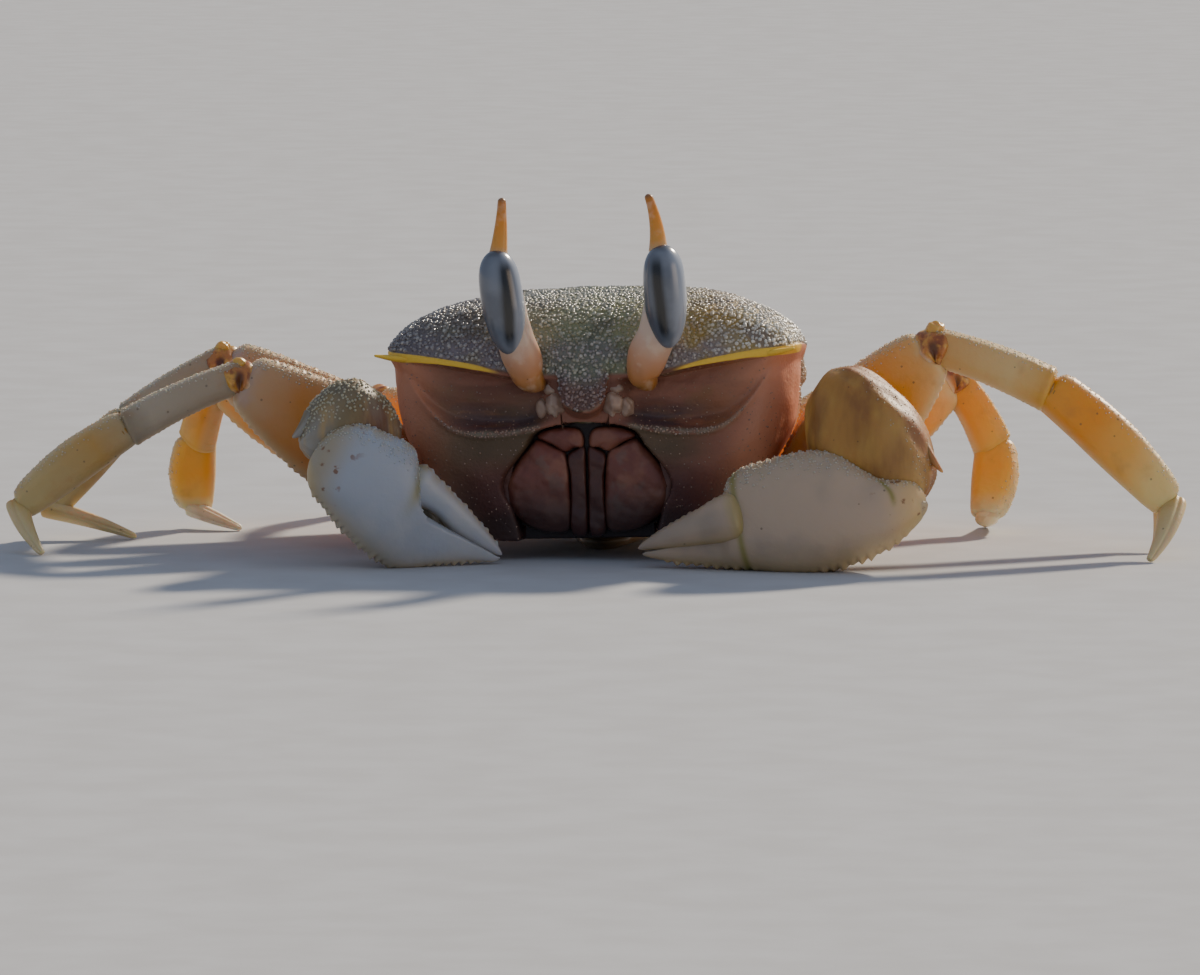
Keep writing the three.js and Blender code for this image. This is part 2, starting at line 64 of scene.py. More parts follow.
def linear(code):
    """Linear red, green and blue of an sRGB hex colour."""
    values = [int(code[i:i + 2], 16) / 255 for i in (1, 3, 5)]
    return [v / 12.92 if v <= 0.04045 else ((v + 0.055) / 1.055) ** 2.4 for v in values]


def rgba(code):
    """The same colour with full alpha, as a socket takes it."""
    return (*linear(code), 1.0)


def add(tree, kind, inputs=None, stops=None, **settings):
    """Adds one node. `settings` are its own values; `inputs` maps sockets to sockets or values.

    `stops` are the positions and hex colours of a node that has a run of colours.
    """
    made = tree.nodes.new(kind)
    for key, value in settings.items():
        setattr(made, key, value)
    for key, value in (inputs or {}).items():
        if isinstance(value, bpy.types.NodeSocket):
            tree.links.new(value, made.inputs[key])
        else:
            made.inputs[key].default_value = value
    if stops:
        elements = made.color_ramp.elements
        for end in (0, -1):
            elements[end].position = stops[end][0]
            elements[end].color = rgba(stops[end][1])
        for position, colour in stops[1:-1]:
            elements.new(position).color = rgba(colour)
    return made


def strength(tree, parts):
    """How far a coat of colour covers: the product of its parts.

    A part is a number, a socket or the name of a mark that the mesh carries; or it is a socket or a mark
    with two limits, and goes smoothly from 0 at the first limit to 1 at the second.
    """
    total = None
    for part in parts:
        value, *limits = part if isinstance(part, tuple) else (part,)
        if isinstance(value, str):
            value = add(tree, "ShaderNodeAttribute", attribute_name=value).outputs["Fac"]
        if limits:
            step = {"Value": value, "From Min": limits[0], "From Max": limits[1]}
            value = add(tree, "ShaderNodeMapRange", step, interpolation_type="SMOOTHSTEP").outputs[0]
        if total is not None:
            value = add(tree, "ShaderNodeMath", {0: total, 1: value}, operation="MULTIPLY").outputs[0]
        total = value
    return total


def coats(tree, ground, *layers):
    """Thin coats laid one after another on a ground, each (colour, *parts of its strength)."""
    result = rgba(ground) if isinstance(ground, str) else ground
    for colour, *parts in layers:
        laid = rgba(colour) if isinstance(colour, str) else colour
        mix = {0: strength(tree, parts), 6: result, 7: laid}
        result = add(tree, "ShaderNodeMix", mix, data_type="RGBA").outputs[2]
    return result


def patches(tree, place, width, low=0.4, high=0.6):
    """Soft patches about `width` metres across: noise, 0 below low and 1 above high."""
    noise = add(tree, "ShaderNodeTexNoise", {"Vector": place, "Scale": 1 / width, "Detail": 3.0})
    return strength(tree, [(noise.outputs[0], low, high)])


def specks(tree, place, spacing, radius):
    """Small round specks: 1 near the points of a cell pattern, `spacing` apart, and 0 beyond `radius`."""
    cells = add(tree, "ShaderNodeTexVoronoi", {"Vector": place, "Scale": 1 / spacing})
    return strength(tree, [(cells.outputs["Distance"], radius / spacing, 0.6 * radius / spacing)])


def new_tree(name):
    """An empty material: (material, its node tree, Object coordinates)."""
    material = bpy.data.materials.new(name)
    material.use_nodes = True
    tree = material.node_tree
    tree.nodes.clear()
    return material, tree, add(tree, "ShaderNodeTexCoord").outputs["Object"]


def finish_shell(tree, place, colour, roughness, grain, depth, detail=4.0, glow=0.0, coat=0.0):
    """Closes a shell material. Chitin has an IOR of about 1.54 and lets red light through furthest.

    The surface is uneven by `depth` metres: noise with a grain of that many metres, or a socket of its
    own. `glow` is how much light passes through and `coat` how wet it looks.
    """
    if isinstance(grain, float):
        noise = {"Vector": place, "Scale": 1 / grain, "Detail": detail}
        grain = add(tree, "ShaderNodeTexNoise", noise).outputs[0]
    bumped = add(tree, "ShaderNodeBump", {"Height": grain, "Distance": depth, "Strength": 1.0})
    surface = {
        "Base Color": colour, "Roughness": roughness, "Normal": bumped.outputs[0], "IOR": 1.54,
        "Subsurface Weight": glow, "Subsurface Radius": (1.0, 0.45, 0.18), "Subsurface Scale": 1.5 * MM,
        "Coat Weight": coat, "Coat Roughness": 0.2,
    }
    shader = add(tree, "ShaderNodeBsdfPrincipled", surface)
    add(tree, "ShaderNodeOutputMaterial", {"Surface": shader.outputs[0]})


# ---------------------------------------------------------------- number helpers

def ramp(low, high, value):
    """0 at low and 1 at high with a smooth step between; low may be the larger."""
    t = np.clip((value - low) / (high - low), 0, 1)
    return t * t * (3 - 2 * t)


def lerp(a, b, t):
    """The straight way from a, at t = 0, to b, at t = 1."""
    return a + (b - a) * t


def bell(value, middle, width):
    """A bell curve: 1 at the middle, falling off over the width."""
    return np.exp(-((value - middle) / width) ** 2)


def signed_power(base, power):
    """The size of the base to a power, with the base's own sign; below 1 it squares off a circle."""
    return np.sign(base) * np.abs(base) ** power


def along(rows, t):
    """The columns of a table of rows [t, a, b, ...] at every t, on a smooth cubic through the rows.

    Between two rows the cubic has the slopes of the chords across its two ends.
    """
    rows = np.asarray(rows, float)
    t = np.asarray(t, float)
    last = len(rows) - 1
    i = np.clip(np.searchsorted(rows[:, 0], t, side="left") - 1, 0, last - 1)
    before, first = rows[np.maximum(i - 1, 0)], rows[i]
    second, after = rows[i + 1], rows[np.minimum(i + 2, last)]
    span = (second[..., :1] - first[..., :1])
    s = np.clip((t[..., None] - first[..., :1]) / span, 0, 1)
    slope_in = (second - before) / (second[..., :1] - before[..., :1]) * span
    slope_out = (after - first) / (after[..., :1] - first[..., :1]) * span
    blend = s * s * (3 - 2 * s)
    values = (1 - blend) * first + blend * second + s * (1 - s) ** 2 * slope_in + s * s * (s - 1) * slope_out
    return [values[..., k] for k in range(1, rows.shape[1])]


def unit(vectors):
    """The vectors divided by their lengths."""
    return vectors / np.maximum(np.linalg.norm(vectors, axis=-1, keepdims=True), 1e-12)


WAVES = 7


def waves(points, length, seed):
    """Smooth noise, mostly from -1 to 1: the sum of sine waves of about that length in seeded directions.

    The sum is divided by the square root of their number.
    """
    draw = np.random.default_rng(seed)
    directions = unit(draw.normal(size=(WAVES, 3))) * (TAU / length) * draw.uniform(0.7, 1.4, (WAVES, 1))
    phases = draw.uniform(0, TAU, WAVES)
    return np.sin(points @ directions.T + phases).sum(-1) / math.sqrt(WAVES)


# ---------------------------------------------------------------- surfaces

class Surface:
    """A closed surface: points in millimetres, quads, triangles, and one number a point for each mark.

    A chart, where there is one, is the place of each point on a flat unwrap. A limb also keeps its grid
    of rings, and where on it the upper side is.
    """

    def __init__(self, points, quads, triangles, marks=None, chart=None):
        self.points = points
        self.quads = quads
        self.triangles = triangles
        self.marks = marks or {}
        self.chart = chart
        self.grid = None
        self.upper = None


def tube(grid, first_pole, last_pole, **marks):
    """The closed skin over a grid of rings, with a fan of triangles to a pole at each end.

    Rings run anticlockwise seen from the last pole, so that faces point outwards. A mark is an array
    over the grid; a pole takes the mean of its ring.
    """
    rings, sides = grid.shape[:2]
    points = np.vstack([first_pole, grid.reshape(-1, 3), last_pole])
    index = 1 + np.arange(rings * sides).reshape(rings, sides)
    right = np.roll(index, -1, axis=1)
    quads = np.stack([index[:-1], right[:-1], right[1:], index[1:]], -1).reshape(-1, 4)
    start = np.stack([np.zeros(sides, int), right[0], index[0]], -1)
    end = np.stack([np.full(sides, len(points) - 1), index[-1], right[-1]], -1)
    flat = {}
    for name, values in marks.items():
        values = np.broadcast_to(values, (rings, sides))
        flat[name] = np.concatenate([[values[0].mean()], values.ravel(), [values[-1].mean()]])
    return Surface(points, quads, np.vstack([start, end]), flat)


def grid_normals(grid):
    """Outward unit normals of a grid of rings: the cross product of its two directions."""
    around = np.roll(grid, -1, axis=1) - np.roll(grid, 1, axis=1)
    forward = np.gradient(grid, axis=0)
    return unit(np.cross(around, forward))


def join(surfaces):
    """Several surfaces as one; a mark that one of them lacks is 0 there."""
    names = sorted({name for surface in surfaces for name in surface.marks})
    offsets = np.cumsum([0] + [len(surface.points) for surface in surfaces])
    points = np.vstack([surface.points for surface in surfaces])
    quads = np.vstack([surface.quads + shift for surface, shift in zip(surfaces, offsets)])
    triangles = np.vstack([surface.triangles + shift for surface, shift in zip(surfaces, offsets)])
    marks = {
        name: np.concatenate([s.marks.get(name, np.zeros(len(s.points))) for s in surfaces])
        for name in names
    }
    charts = [surface.chart for surface in surfaces if surface.chart is not None]
    return Surface(points, quads, triangles, marks, np.vstack(charts) if charts else None)


def put(name, surface, material, slot, *nodes):
    """Makes the object, smooth shaded, with its marks as attributes, and ties it to the frame."""
    mesh = bpy.data.meshes.new(name)
    quads, triangles = surface.quads, surface.triangles
    corners = np.concatenate([quads.ravel(), triangles.ravel()]).astype(np.int32)
    totals = np.concatenate([np.full(len(quads), 4), np.full(len(triangles), 3)]).astype(np.int32)
    mesh.vertices.add(len(surface.points))
    mesh.vertices.foreach_set("co", (surface.points * MM).astype(np.float32).ravel())
    mesh.loops.add(len(corners))
    mesh.loops.foreach_set("vertex_index", corners)
    mesh.polygons.add(len(totals))
    mesh.polygons.foreach_set("loop_start", np.concatenate([[0], np.cumsum(totals)[:-1]]).astype(np.int32))
    mesh.polygons.foreach_set("loop_total", totals)
    mesh.polygons.foreach_set("use_smooth", np.ones(len(totals), bool))
    for mark_name, values in surface.marks.items():
        attribute = mesh.attributes.new(mark_name, "FLOAT", "POINT")
        attribute.data.foreach_set("value", values.astype(np.float32))
    if surface.chart is not None:
        layer = mesh.uv_layers.new(name="OFBake")
        layer.data.foreach_set("uv", surface.chart[corners].astype(np.float32).ravel())
    mesh.update()
    mesh.validate()
    mesh.materials.append(material)
    piece = bpy.data.objects.new(name, mesh)
    bpy.context.scene.collection.objects.link(piece)
    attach(piece, "root")
    if nodes:
        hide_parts(*nodes)


BEAD_SIDES = 6
BEAD_POINTS = 2 * BEAD_SIDES + 2
BEAD_RING = 0.45            # how far a granule's two rings lie from its middle, over its half height
BEAD_HEIGHT = 0.85          # half the height of a granule, over its radius
CHART_SIZE = 0.003          # width of a granule's own chart


def beads(centres, normals, radii, roots=None, **marks):
    """Granules: low spheroids of two rings of points between two poles, sunk halfway in the shell.

    With `roots`, their places on an unwrap of the shell, each gets a chart of its own there.
    """
    helper = np.where(np.abs(normals[:, 2:]) > 0.8, [[1.0, 0, 0]], [[0, 0, 1.0]])
    side = unit(np.cross(helper, normals))
    lift = np.cross(normals, side)
    turns = np.arange(BEAD_SIDES) / BEAD_SIDES * TAU
    ring = math.sqrt(1 - BEAD_RING ** 2)
    local = [[0, 0, -1.0]]
    for height, twist in ((-BEAD_RING, 0.0), (BEAD_RING, math.pi / BEAD_SIDES)):
        local += [[ring * math.cos(a + twist), ring * math.sin(a + twist), height] for a in turns]
    local = np.array(local + [[0, 0, 1.0]])
    offset = (local[None, :, 0, None] * side[:, None] + local[None, :, 1, None] * lift[:, None]
              + BEAD_HEIGHT * local[None, :, 2, None] * normals[:, None])
    points = centres[:, None] + radii[:, None, None] * offset
    low = 1 + np.arange(BEAD_SIDES)
    high = low + BEAD_SIDES
    next_low, next_high = np.roll(low, -1), np.roll(high, -1)
    bottom = np.stack([0 * low, next_low, low], -1)
    top = np.stack([0 * high + BEAD_POINTS - 1, high, next_high], -1)
    rising = np.stack([low, next_low, high], -1)
    falling = np.stack([next_low, next_high, high], -1)
    faces = np.vstack([bottom, rising, falling, top])
    triangles = (faces + BEAD_POINTS * np.arange(len(centres))[:, None, None]).reshape(-1, 3)
    flat = {name: np.repeat(values, BEAD_POINTS) for name, values in marks.items()}
    chart = None
    if roots is not None:
        chart = (roots[:, None] + CHART_SIZE / 2 * local[None, :, :2]).reshape(-1, 2)
    return Surface(points.reshape(-1, 3), np.zeros((0, 4), int), triangles, flat, chart)


def shell_chart(grid):
    """Every point of the shell on a flat disc inside the unit square.

    Its way from the top of the back along its column is its distance from the middle, and its column
    is its angle.
    """
    steps = np.linalg.norm(np.diff(grid[::-1], axis=0), axis=-1).mean(1)
    way = np.concatenate([[0], np.cumsum(steps)])[::-1, None]
    turn = np.arange(grid.shape[1]) / grid.shape[1] * TAU
    disc = np.stack([way * np.cos(turn), way * np.sin(turn)], -1)
    return 0.5 + 0.49 * disc / way.max()


def studded(surface, mask, pitch, radius, seed):
    """A limb with granules about `pitch` apart, as likely at each point as the mask says."""
    draw = np.random.default_rng(seed)
    points = surface.grid.reshape(-1, 3)
    normals = grid_normals(surface.grid).reshape(-1, 3)
    likely = mask.ravel() > draw.uniform(0, 1, len(points))
    chosen = scattered(points, pitch, seed, likely)
    radii = radius * draw.uniform(0.5, 1.0, len(chosen))
    marks = {name: values[1:-1][chosen] for name, values in surface.marks.items()}
    marks["bead"] = np.ones(len(chosen))
    return join([surface, beads(points[chosen], normals[chosen], radii, **marks)])


def ridge(turn, where, height, width):
    """A rounded ridge (or, with a negative height, a groove) along a limb, at the angle `where`."""
    return height * bell(np.angle(np.exp(1j * (turn - where))), 0, width)


def pit_at(t, turn):
    """1 in the middle of the front of a sleeve, falling off like a bell along it and round it."""
    return bell(t, 0.52, 0.2) * ridge(turn, BOTTOM, 1.0, 0.75)


def cuff(before, joint, after, reach, radius, dent, seed):
    """The soft skin of a joint: a short folded sleeve round the bend, reaching into both segments.

    Four folds run round it, lumps stand on it, and the front is dented by `dent` millimetres.
    """
    before, joint, after = (np.asarray(point, float) for point in (before, joint, after))
    arriving, leaving = unit(joint - before), unit(after - joint)
    rows = [
        [0, *(joint - reach * arriving), 0.85 * radius, 0.85 * radius],
        [0.3, *(joint - 0.35 * reach * arriving), radius, radius],
        [0.65, *(joint + 0.3 * reach * leaving), radius, radius],
        [1, *(joint + reach * leaving), 0.85 * radius, 0.85 * radius],
    ]
    phases = np.random.default_rng(seed).uniform(0, TAU, 2)

    def folds(t, turn):
        """Heights of the folds, the lumps and the dent."""
        folded = 0.06 * np.sin(4 * TAU * t + np.sin(2 * turn)) + 0.05 * np.sin(3 * turn)
        lumps = 0.35 * np.sin(5 * turn + phases[0]) * np.sin(9 * t + phases[1])
        return folded + dent * (lumps - pit_at(t, turn))

    return swept(rows, (0, 1, 0.05), folds, rings=40, sides=32, cap=0.12, pit=pit_at)


def sprinkled(table, count, seed):
    """Points spread evenly and at random over a grid of rings whose first three columns are x, y and z.

    A cell is drawn as likely as its area is large, and each column is blended from its four corners.
    """
    draw = np.random.default_rng(seed)
    grid = table[..., :3]
    around = np.roll(grid, -1, axis=1) - grid
    forward = np.diff(grid, axis=0, append=grid[-1:])
    area = np.linalg.norm(np.cross(around, forward), axis=-1).ravel()
    row, column = np.divmod(draw.choice(len(area), count, p=area / area.sum()), grid.shape[1])
    beside = (column + 1) % grid.shape[1]
    u, v = draw.uniform(0, 1, (2, count, 1))
    near = lerp(table[row, column], table[row, beside], u)
    far = lerp(table[row + 1, column], table[row + 1, beside], u)
    return lerp(near, far, v)


def scattered(points, pitch, seed, keep):
    """Indices of kept points about `pitch` apart: one drawn from each filled cube of that size."""
    order = np.random.default_rng(seed).permutation(np.flatnonzero(keep))
    cells = np.floor(points[order] / pitch).astype(int)
    chosen = np.unique(cells, axis=0, return_index=True)[1]
    return order[chosen]


def stations(rings, sides, cap):
    """Where the rings of a limb stand, the angles of their points, and how wide each ring is.

    The rings crowd towards the ends, where over `cap` of the length the limb closes to a pole like a
    quarter circle.
    """
    t = 0.5 - 0.5 * np.cos(np.linspace(0, math.pi, rings + 2)[1:-1, None])
    closing = np.sqrt(1 - (1 - np.minimum(np.minimum(t, 1 - t) / cap, 1)) ** 2)
    return t, np.arange(sides) / sides * TAU, closing


def swept(rows, reference, relief, rings, sides, cap, **marks):
    """A tube of elliptical section along a smooth path.

    Each row is [t, x, y, z, reach across, reach up]. `relief` gives a height in millimetres for every t
    and turn, and each mark a number.
    """
    t, turn, closing = stations(rings, sides, cap)
    x, y, z, across, rise = along(rows, t)
    centre = np.concatenate([x, y, z], -1)
    tangent = unit(np.gradient(centre, t[:, 0], axis=0))
    side = unit(np.cross(np.asarray(reference, float), tangent))
    lift = np.cross(tangent, side)
    out = relief(t, turn)
    spread = (across + out) * np.cos(turn) * closing
    height = (rise + out) * np.sin(turn) * closing
    grid = centre[:, None] + spread[..., None] * side[:, None] + height[..., None] * lift[:, None]
    given = {name: values(t, turn) for name, values in marks.items()}
    return tube(grid, rows[0][1:4], rows[-1][1:4], along=t, **given)


SQUARE = 0.85               # power that squares off the section of a limb slightly


def limb(start, end, up, profile, bow=0.0, scale=1.0, rings=48, sides=40, cap=0.05, relief=None, seed=0,
         **marks):
    """A limb segment from start to end, bowed towards `up`.

    Each row of the profile is [t, above, below, half]: how far the segment reaches above and below its
    axis, and half its thickness. The section is an ellipse slightly squared off. `relief` gives a height
    in millimetres for every t, turn and seed. A mark is a number, or a function of t and turn.
    """
    start, end = np.asarray(start, float), np.asarray(end, float)
    forward = unit(end - start)
    side = unit(np.cross(np.asarray(up, float), forward))
    lift = np.cross(forward, side)
    t, turn, closing = stations(rings, sides, cap)
    above, below, half = (scale * column for column in along(profile, t))
    out = 0.0 if relief is None else relief(t, turn, seed)
    across = (signed_power(np.cos(turn), SQUARE) * half + out * np.cos(turn)) * closing
    reach = np.where(np.sin(turn) > 0, above, below)
    rise = (signed_power(np.sin(turn), SQUARE) * reach + out * np.sin(turn)) * closing
    centre = start + (end - start) * t + lift * (bow * 4 * t * (1 - t))
    grid = centre[:, None] + across[..., None] * side + rise[..., None] * lift
    given = {name: values(t, turn) if callable(values) else values for name, values in marks.items()}
    crest = np.maximum(np.sin(turn), 0) ** 4
    keel = np.maximum(-np.sin(turn), 0) ** 4
    surface = tube(grid, start, end, along=t, crest=crest, keel=keel, **given)
    surface.grid = grid
    surface.upper = ramp(0.45, 0.95, np.sin(turn)) * ramp(0, 0.06, t) * ramp(1, 0.94, t)
    return surface


def teeth(t, turn, where, count, height, seed, width=0.4, high=0.96):
    """A saw edge along the margin at angle `where`: leaning teeth of uneven height, fading at its ends.

    Each tooth rises over 0.65 of its length and drops over the rest.
    """
    heights = np.random.default_rng(seed).uniform(0.35, 1.0, count + 1)
    place = t * count
    phase = place % 1
    tooth = np.where(phase < 0.65, phase / 0.65, (1 - phase) / 0.35)
    fade = ramp(0.04, 0.1, t) * ramp(high, high - 0.06, t)
    uneven = height * heights[np.minimum(place.astype(int), count)]
    return uneven * tooth * ridge(turn, where, 1.0, width) * fade


BLOB_RINGS = 24


def blob(centre, radii, lumps, lump_length, seed, sides=32):
    """A lumpy ellipsoid: the sphere's latitude rings scaled by the radii and swollen by smooth noise."""
    latitude = np.linspace(BOTTOM, TOP, BLOB_RINGS + 2)[:, None]
    turn = np.arange(sides) / sides * TAU
    ball = np.stack([np.cos(latitude) * np.cos(turn), np.cos(latitude) * np.sin(turn),
                     np.sin(latitude) + 0 * turn], -1) * radii
    ball = ball * (1 + lumps * waves(ball, lump_length, seed))[..., None] + centre
    return tube(ball[1:-1], ball[0, 0], ball[-1, 0])


# ---------------------------------------------------------------- the body's frame and shell

CARAPACE_WIDTH = 43.0
CARAPACE_FRONT = 18.2
CARAPACE_REAR = 17.6
CARAPACE_TOP = 25.9
RIM_REAR = 14.5
BODY_YAW = math.radians(-6)
BODY_ROLL = math.radians(-1.5)
BACK_MIDDLE_Y = -2.0
FACE_SHIFT = -0.3           # the mouth and the rostrum stand this far towards the crab's right
WALL_FOOT = {"front": 2.2, "side": 8.3, "rear": 6.2}

# Half the front, from its middle outward, each row starting with the distance from the middle:
FRONT_RIM = [[0, 18.7], [6, 18.8], [8.3, 19.15], [11.4, 19.9], [16.4, 20.8], [19, 21.05], [22, 21.2]]
SUBORBITAL = [[0, 14.2], [4, 13.8], [6.5, 13.3], [9, 13.05], [12, 13.1], [14, 13.8], [16, 15.6],
              [17.5, 17.6], [18.6, 19.3], [22, 22]]
LIP = [[0, 0.16], [8, 0.2], [12, 0.26], [16, 0.45], [20, 0.72], [22, 0.8]]
MOUTH_OUTLINE = [[0, 6.4], [3, 6.9], [5.5, 7.6], [7.3, 8.4], [8.6, 8.2], [10, 7.3], [11.6, 6.0],
                 [13, 5.0], [13.7, 3.4], [14.1, 0.6], [30, 0.6]]
ROSTRUM = {"half": 2.35, "tip": 15.2, "round": 2.0, "proud": 1.9, "start": 0.95}


def in_body(points):
    """Turns points from the body's own frame: rolled about Y, then yawed about Z."""
    c, s = math.cos(BODY_ROLL), math.sin(BODY_ROLL)
    roll = np.array([[c, 0, s], [0, 1, 0], [-s, 0, c]])
    c, s = math.cos(BODY_YAW), math.sin(BODY_YAW)
    yaw = np.array([[c, -s, 0], [s, c, 0], [0, 0, 1]])
    return points @ (yaw @ roll).T


def body_surface(surface):
    """The surface with its points turned from the body's own frame."""
    surface.points = in_body(surface.points)
    return surface


def plan_radius(angle):
    """Distance from the middle to the edge of the back: a superellipse, squarer in front than behind.

    Its power falls from 9 to 2.3. Each flank has a small swelling just behind the front corner.
    """
    c, s = np.cos(angle), np.sin(angle)
    back = ramp(-0.5, 0.7, s)
    swell = np.where(c > 0, 0.9, 0.2) * bell(s, -0.42, 0.2)
    half_width = CARAPACE_WIDTH / 2 * (0.952 - 0.03 * back) + swell
    half_length = np.where(s < 0, CARAPACE_FRONT, CARAPACE_REAR)
    squareness = 9 - 6.7 * back
    total = np.abs(c / half_width) ** squareness + np.abs(s / half_length) ** squareness
    return total ** (-1 / squareness)


def rim_height(x, y):
    """Height of the edge of the back: the rim of the face in front, falling to the hind margin."""
    return lerp(along(FRONT_RIM, np.abs(x))[0], RIM_REAR, ramp(-14, 16, y))


def rostrum_drop(x, y):
    """How far the middle of the front rim hangs down as the rostrum, which ends in a half circle."""
    off = np.clip(np.abs(x - FACE_SHIFT) / ROSTRUM["half"], 0, 1)
    tip = ROSTRUM["tip"] + ROSTRUM["round"] * (1 - np.sqrt(1 - off ** 2))
    inside = (off < 1) & (y < 0)
    return np.where(inside, along(FRONT_RIM, np.abs(x))[0] - tip, 0.0)


def rostrum_proud(x, y):
    """How far the rostrum stands out in front, rounded across."""
    off = np.clip(np.abs(x - FACE_SHIFT) / (ROSTRUM["half"] + 0.15), 0, 1)
    return np.where(y < 0, ROSTRUM["proud"] * (1 - off ** 4) ** 0.5, 0.0)


def face_relief(x, z, rim):
    """Depth of the face's hollows, and the marks of its regions.

    The orbit runs from the suborbital ridge up to the lip under the rim: it is deepest just above the
    ridge and swells forward again above. The mouth frame is a flat-bottomed hollow.
    """
    across = np.abs(x)
    low = along(SUBORBITAL, across)[0]
    lip = along(LIP, across)[0]
    share = (z - low) / np.maximum(rim - lip - low, 0.2)
    sideways = ramp(19.0, 16.4, across) * ramp(2.9, 5.6, np.abs(x - FACE_SHIFT))
    inside = ramp(0.0, 0.22, share) * ramp(1.0, 0.9, share) * sideways
    orbit = inside * (2.0 - 0.6 * bell(share, 0.62, 0.34))
    ledge = bell(z, low, 0.38) * sideways
    half_mouth = along(MOUTH_OUTLINE, z)[0]
    mouth = ramp(half_mouth + 0.25, half_mouth - 0.25, np.abs(x - FACE_SHIFT)) * (half_mouth > 0.7)
    below = np.clip((low - z) / 9.0, 0, 1)
    cheek = 0.5 * ramp(0.0, 0.5, below) * ramp(1.0, 0.5, below) * ramp(6, 12, across)
    depth = orbit + 1.9 * mouth - 0.22 * ledge - cheek
    marks = {
        "orbit": sideways * ramp(-0.02, 0.08, share) * ramp(1.04, 0.96, share),
        "trough": sideways * ramp(-0.02, 0.1, share) * ramp(0.62, 0.22, share),
        "ledge": ledge,
        "left": ramp(8, 17, x),
        "below": ramp(0.0, -0.08, share) * (0.15 + 0.85 * below),
        "mouth": mouth,
        "lip": ramp(lip + 0.12, lip - 0.05, rim - z) * ramp(6.5, 13.0, across),
    }
    return depth, marks


COLUMNS = 440
WALL_ROWS = 132
BACK_ROWS = 58
EDGE_ROWS = 22              # rows close to the edge of the back, with the edge itself
# The rings under the body, each its size against the edge of the back, and its height:
UNDER_RINGS = ((0.08, 6.8), (0.2, 6.85), (0.3, 6.9), (0.45, 6.95), (0.62, 7.0))


def carapace_grid():
    """The whole shell as rings from under the body up its walls and over the back.

    Columns are angles crowded towards the face. A wall ring lies between the foot and the rim of the
    back; a back ring is the rim shrunk towards the middle, raised by (1 - size**4.6)**0.7.
    """
    turn = np.arange(COLUMNS) / COLUMNS * TAU
    angle = turn - 0.35 * np.cos(turn)
    radius = plan_radius(angle)
    edge_x, edge_y = radius * np.cos(angle), radius * np.sin(angle)
    rim = rim_height(edge_x, edge_y)
    drop = rostrum_drop(edge_x, edge_y)
    proud = rostrum_proud(edge_x, edge_y)
    facing = np.sin(angle)
    front = ramp(-0.56, -0.86, facing)
    lipped = ramp(-0.42, -0.6, facing)

    under = []
    for size, height in UNDER_RINGS:
        under.append(np.stack([size * edge_x, size * edge_y, 0 * edge_x + height], -1))

    level = 1 - (1 - np.linspace(0, 1, WALL_ROWS)[:, None]) ** 1.15
    flank_foot = lerp(WALL_FOOT["side"], WALL_FOOT["rear"], ramp(0.2, 0.8, facing))
    foot = lerp(flank_foot, WALL_FOOT["front"], front)
    wall_z = lerp(foot, rim - drop, level)
    narrow = lerp(0.81, 0.97 + 0.03 * ramp(0.85, 1, level), 1 - (1 - level) ** 3.2)
    shorten = lerp(narrow, 0.95 + 0.05 * ramp(0, 0.5, level), front)
    wall_x = edge_x * narrow
    wall_y = edge_y * shorten
    depth, marks = face_relief(wall_x, wall_z, rim)
    wall_y = wall_y + front * depth - proud * ramp(0.93, 1.0, level)
    wall = np.stack([wall_x, wall_y, wall_z], -1)
    marks = {name: values * (lipped if name == "lip" else front) for name, values in marks.items()}
    marks["flank"] = (1 - front) + 0 * level
    marks["upper"] = ramp(-0.45, -0.15, facing) * ramp(0.5, 0.85, level)
    # The corner mark covers the front corners and the front of each flank: their own pinkish red, painted
    # brighter as painted light where the light grazes them.
    marks["corner"] = (front * (bell(wall_x, 20.0, 1.5) + 0.6 * bell(wall_x, -19.4, 0.7))
                       + (1 - front) * ramp(0.0, -0.35, facing))

    size = np.linspace(1, 0, BACK_ROWS + 2)[:-1, None] ** 0.8
    size = np.vstack([1 - np.linspace(0, 0.06, EDGE_ROWS)[1:, None], size[size[:, 0] < 0.935]])
    back_x = edge_x * size
    hang = ramp(ROSTRUM["start"], 1.0, size)
    back_y = lerp(BACK_MIDDLE_Y, edge_y, size) - proud * hang
    back_z = lerp(rim, CARAPACE_TOP, (1 - size ** 4.6) ** 0.7) - drop * hang
    back = np.stack([back_x, back_y, back_z], -1)
    brow = bell(back_x - FACE_SHIFT, 0, 3.6) * ramp(0.84, 0.93, size) * front
    back_marks = {
        "back": np.ones(back_x.shape),
        "brow": brow,
        "lip": ramp(0.9965, 0.999, size) * lipped * ramp(6.5, 13.0, np.abs(back_x)),
        "hem": front * ramp(0.88, 0.97, size),
        "tongue": (drop > 0) * hang * front,
    }

    grid = np.concatenate([np.stack(under), wall, back])
    total = {}
    for name in sorted(set(marks) | set(back_marks)):
        parts = [np.zeros((len(under), COLUMNS)), marks.get(name, np.zeros(wall_x.shape)),
                 back_marks.get(name, np.zeros(back_x.shape))]
        total[name] = np.concatenate(parts)
    return grid, total


CORNER_SPINE = [[0, 0.2, 0.5, 0.9], [0.5, 0.2, 0.45, 0.8], [1, 0.1, 0.14, 0.15]]


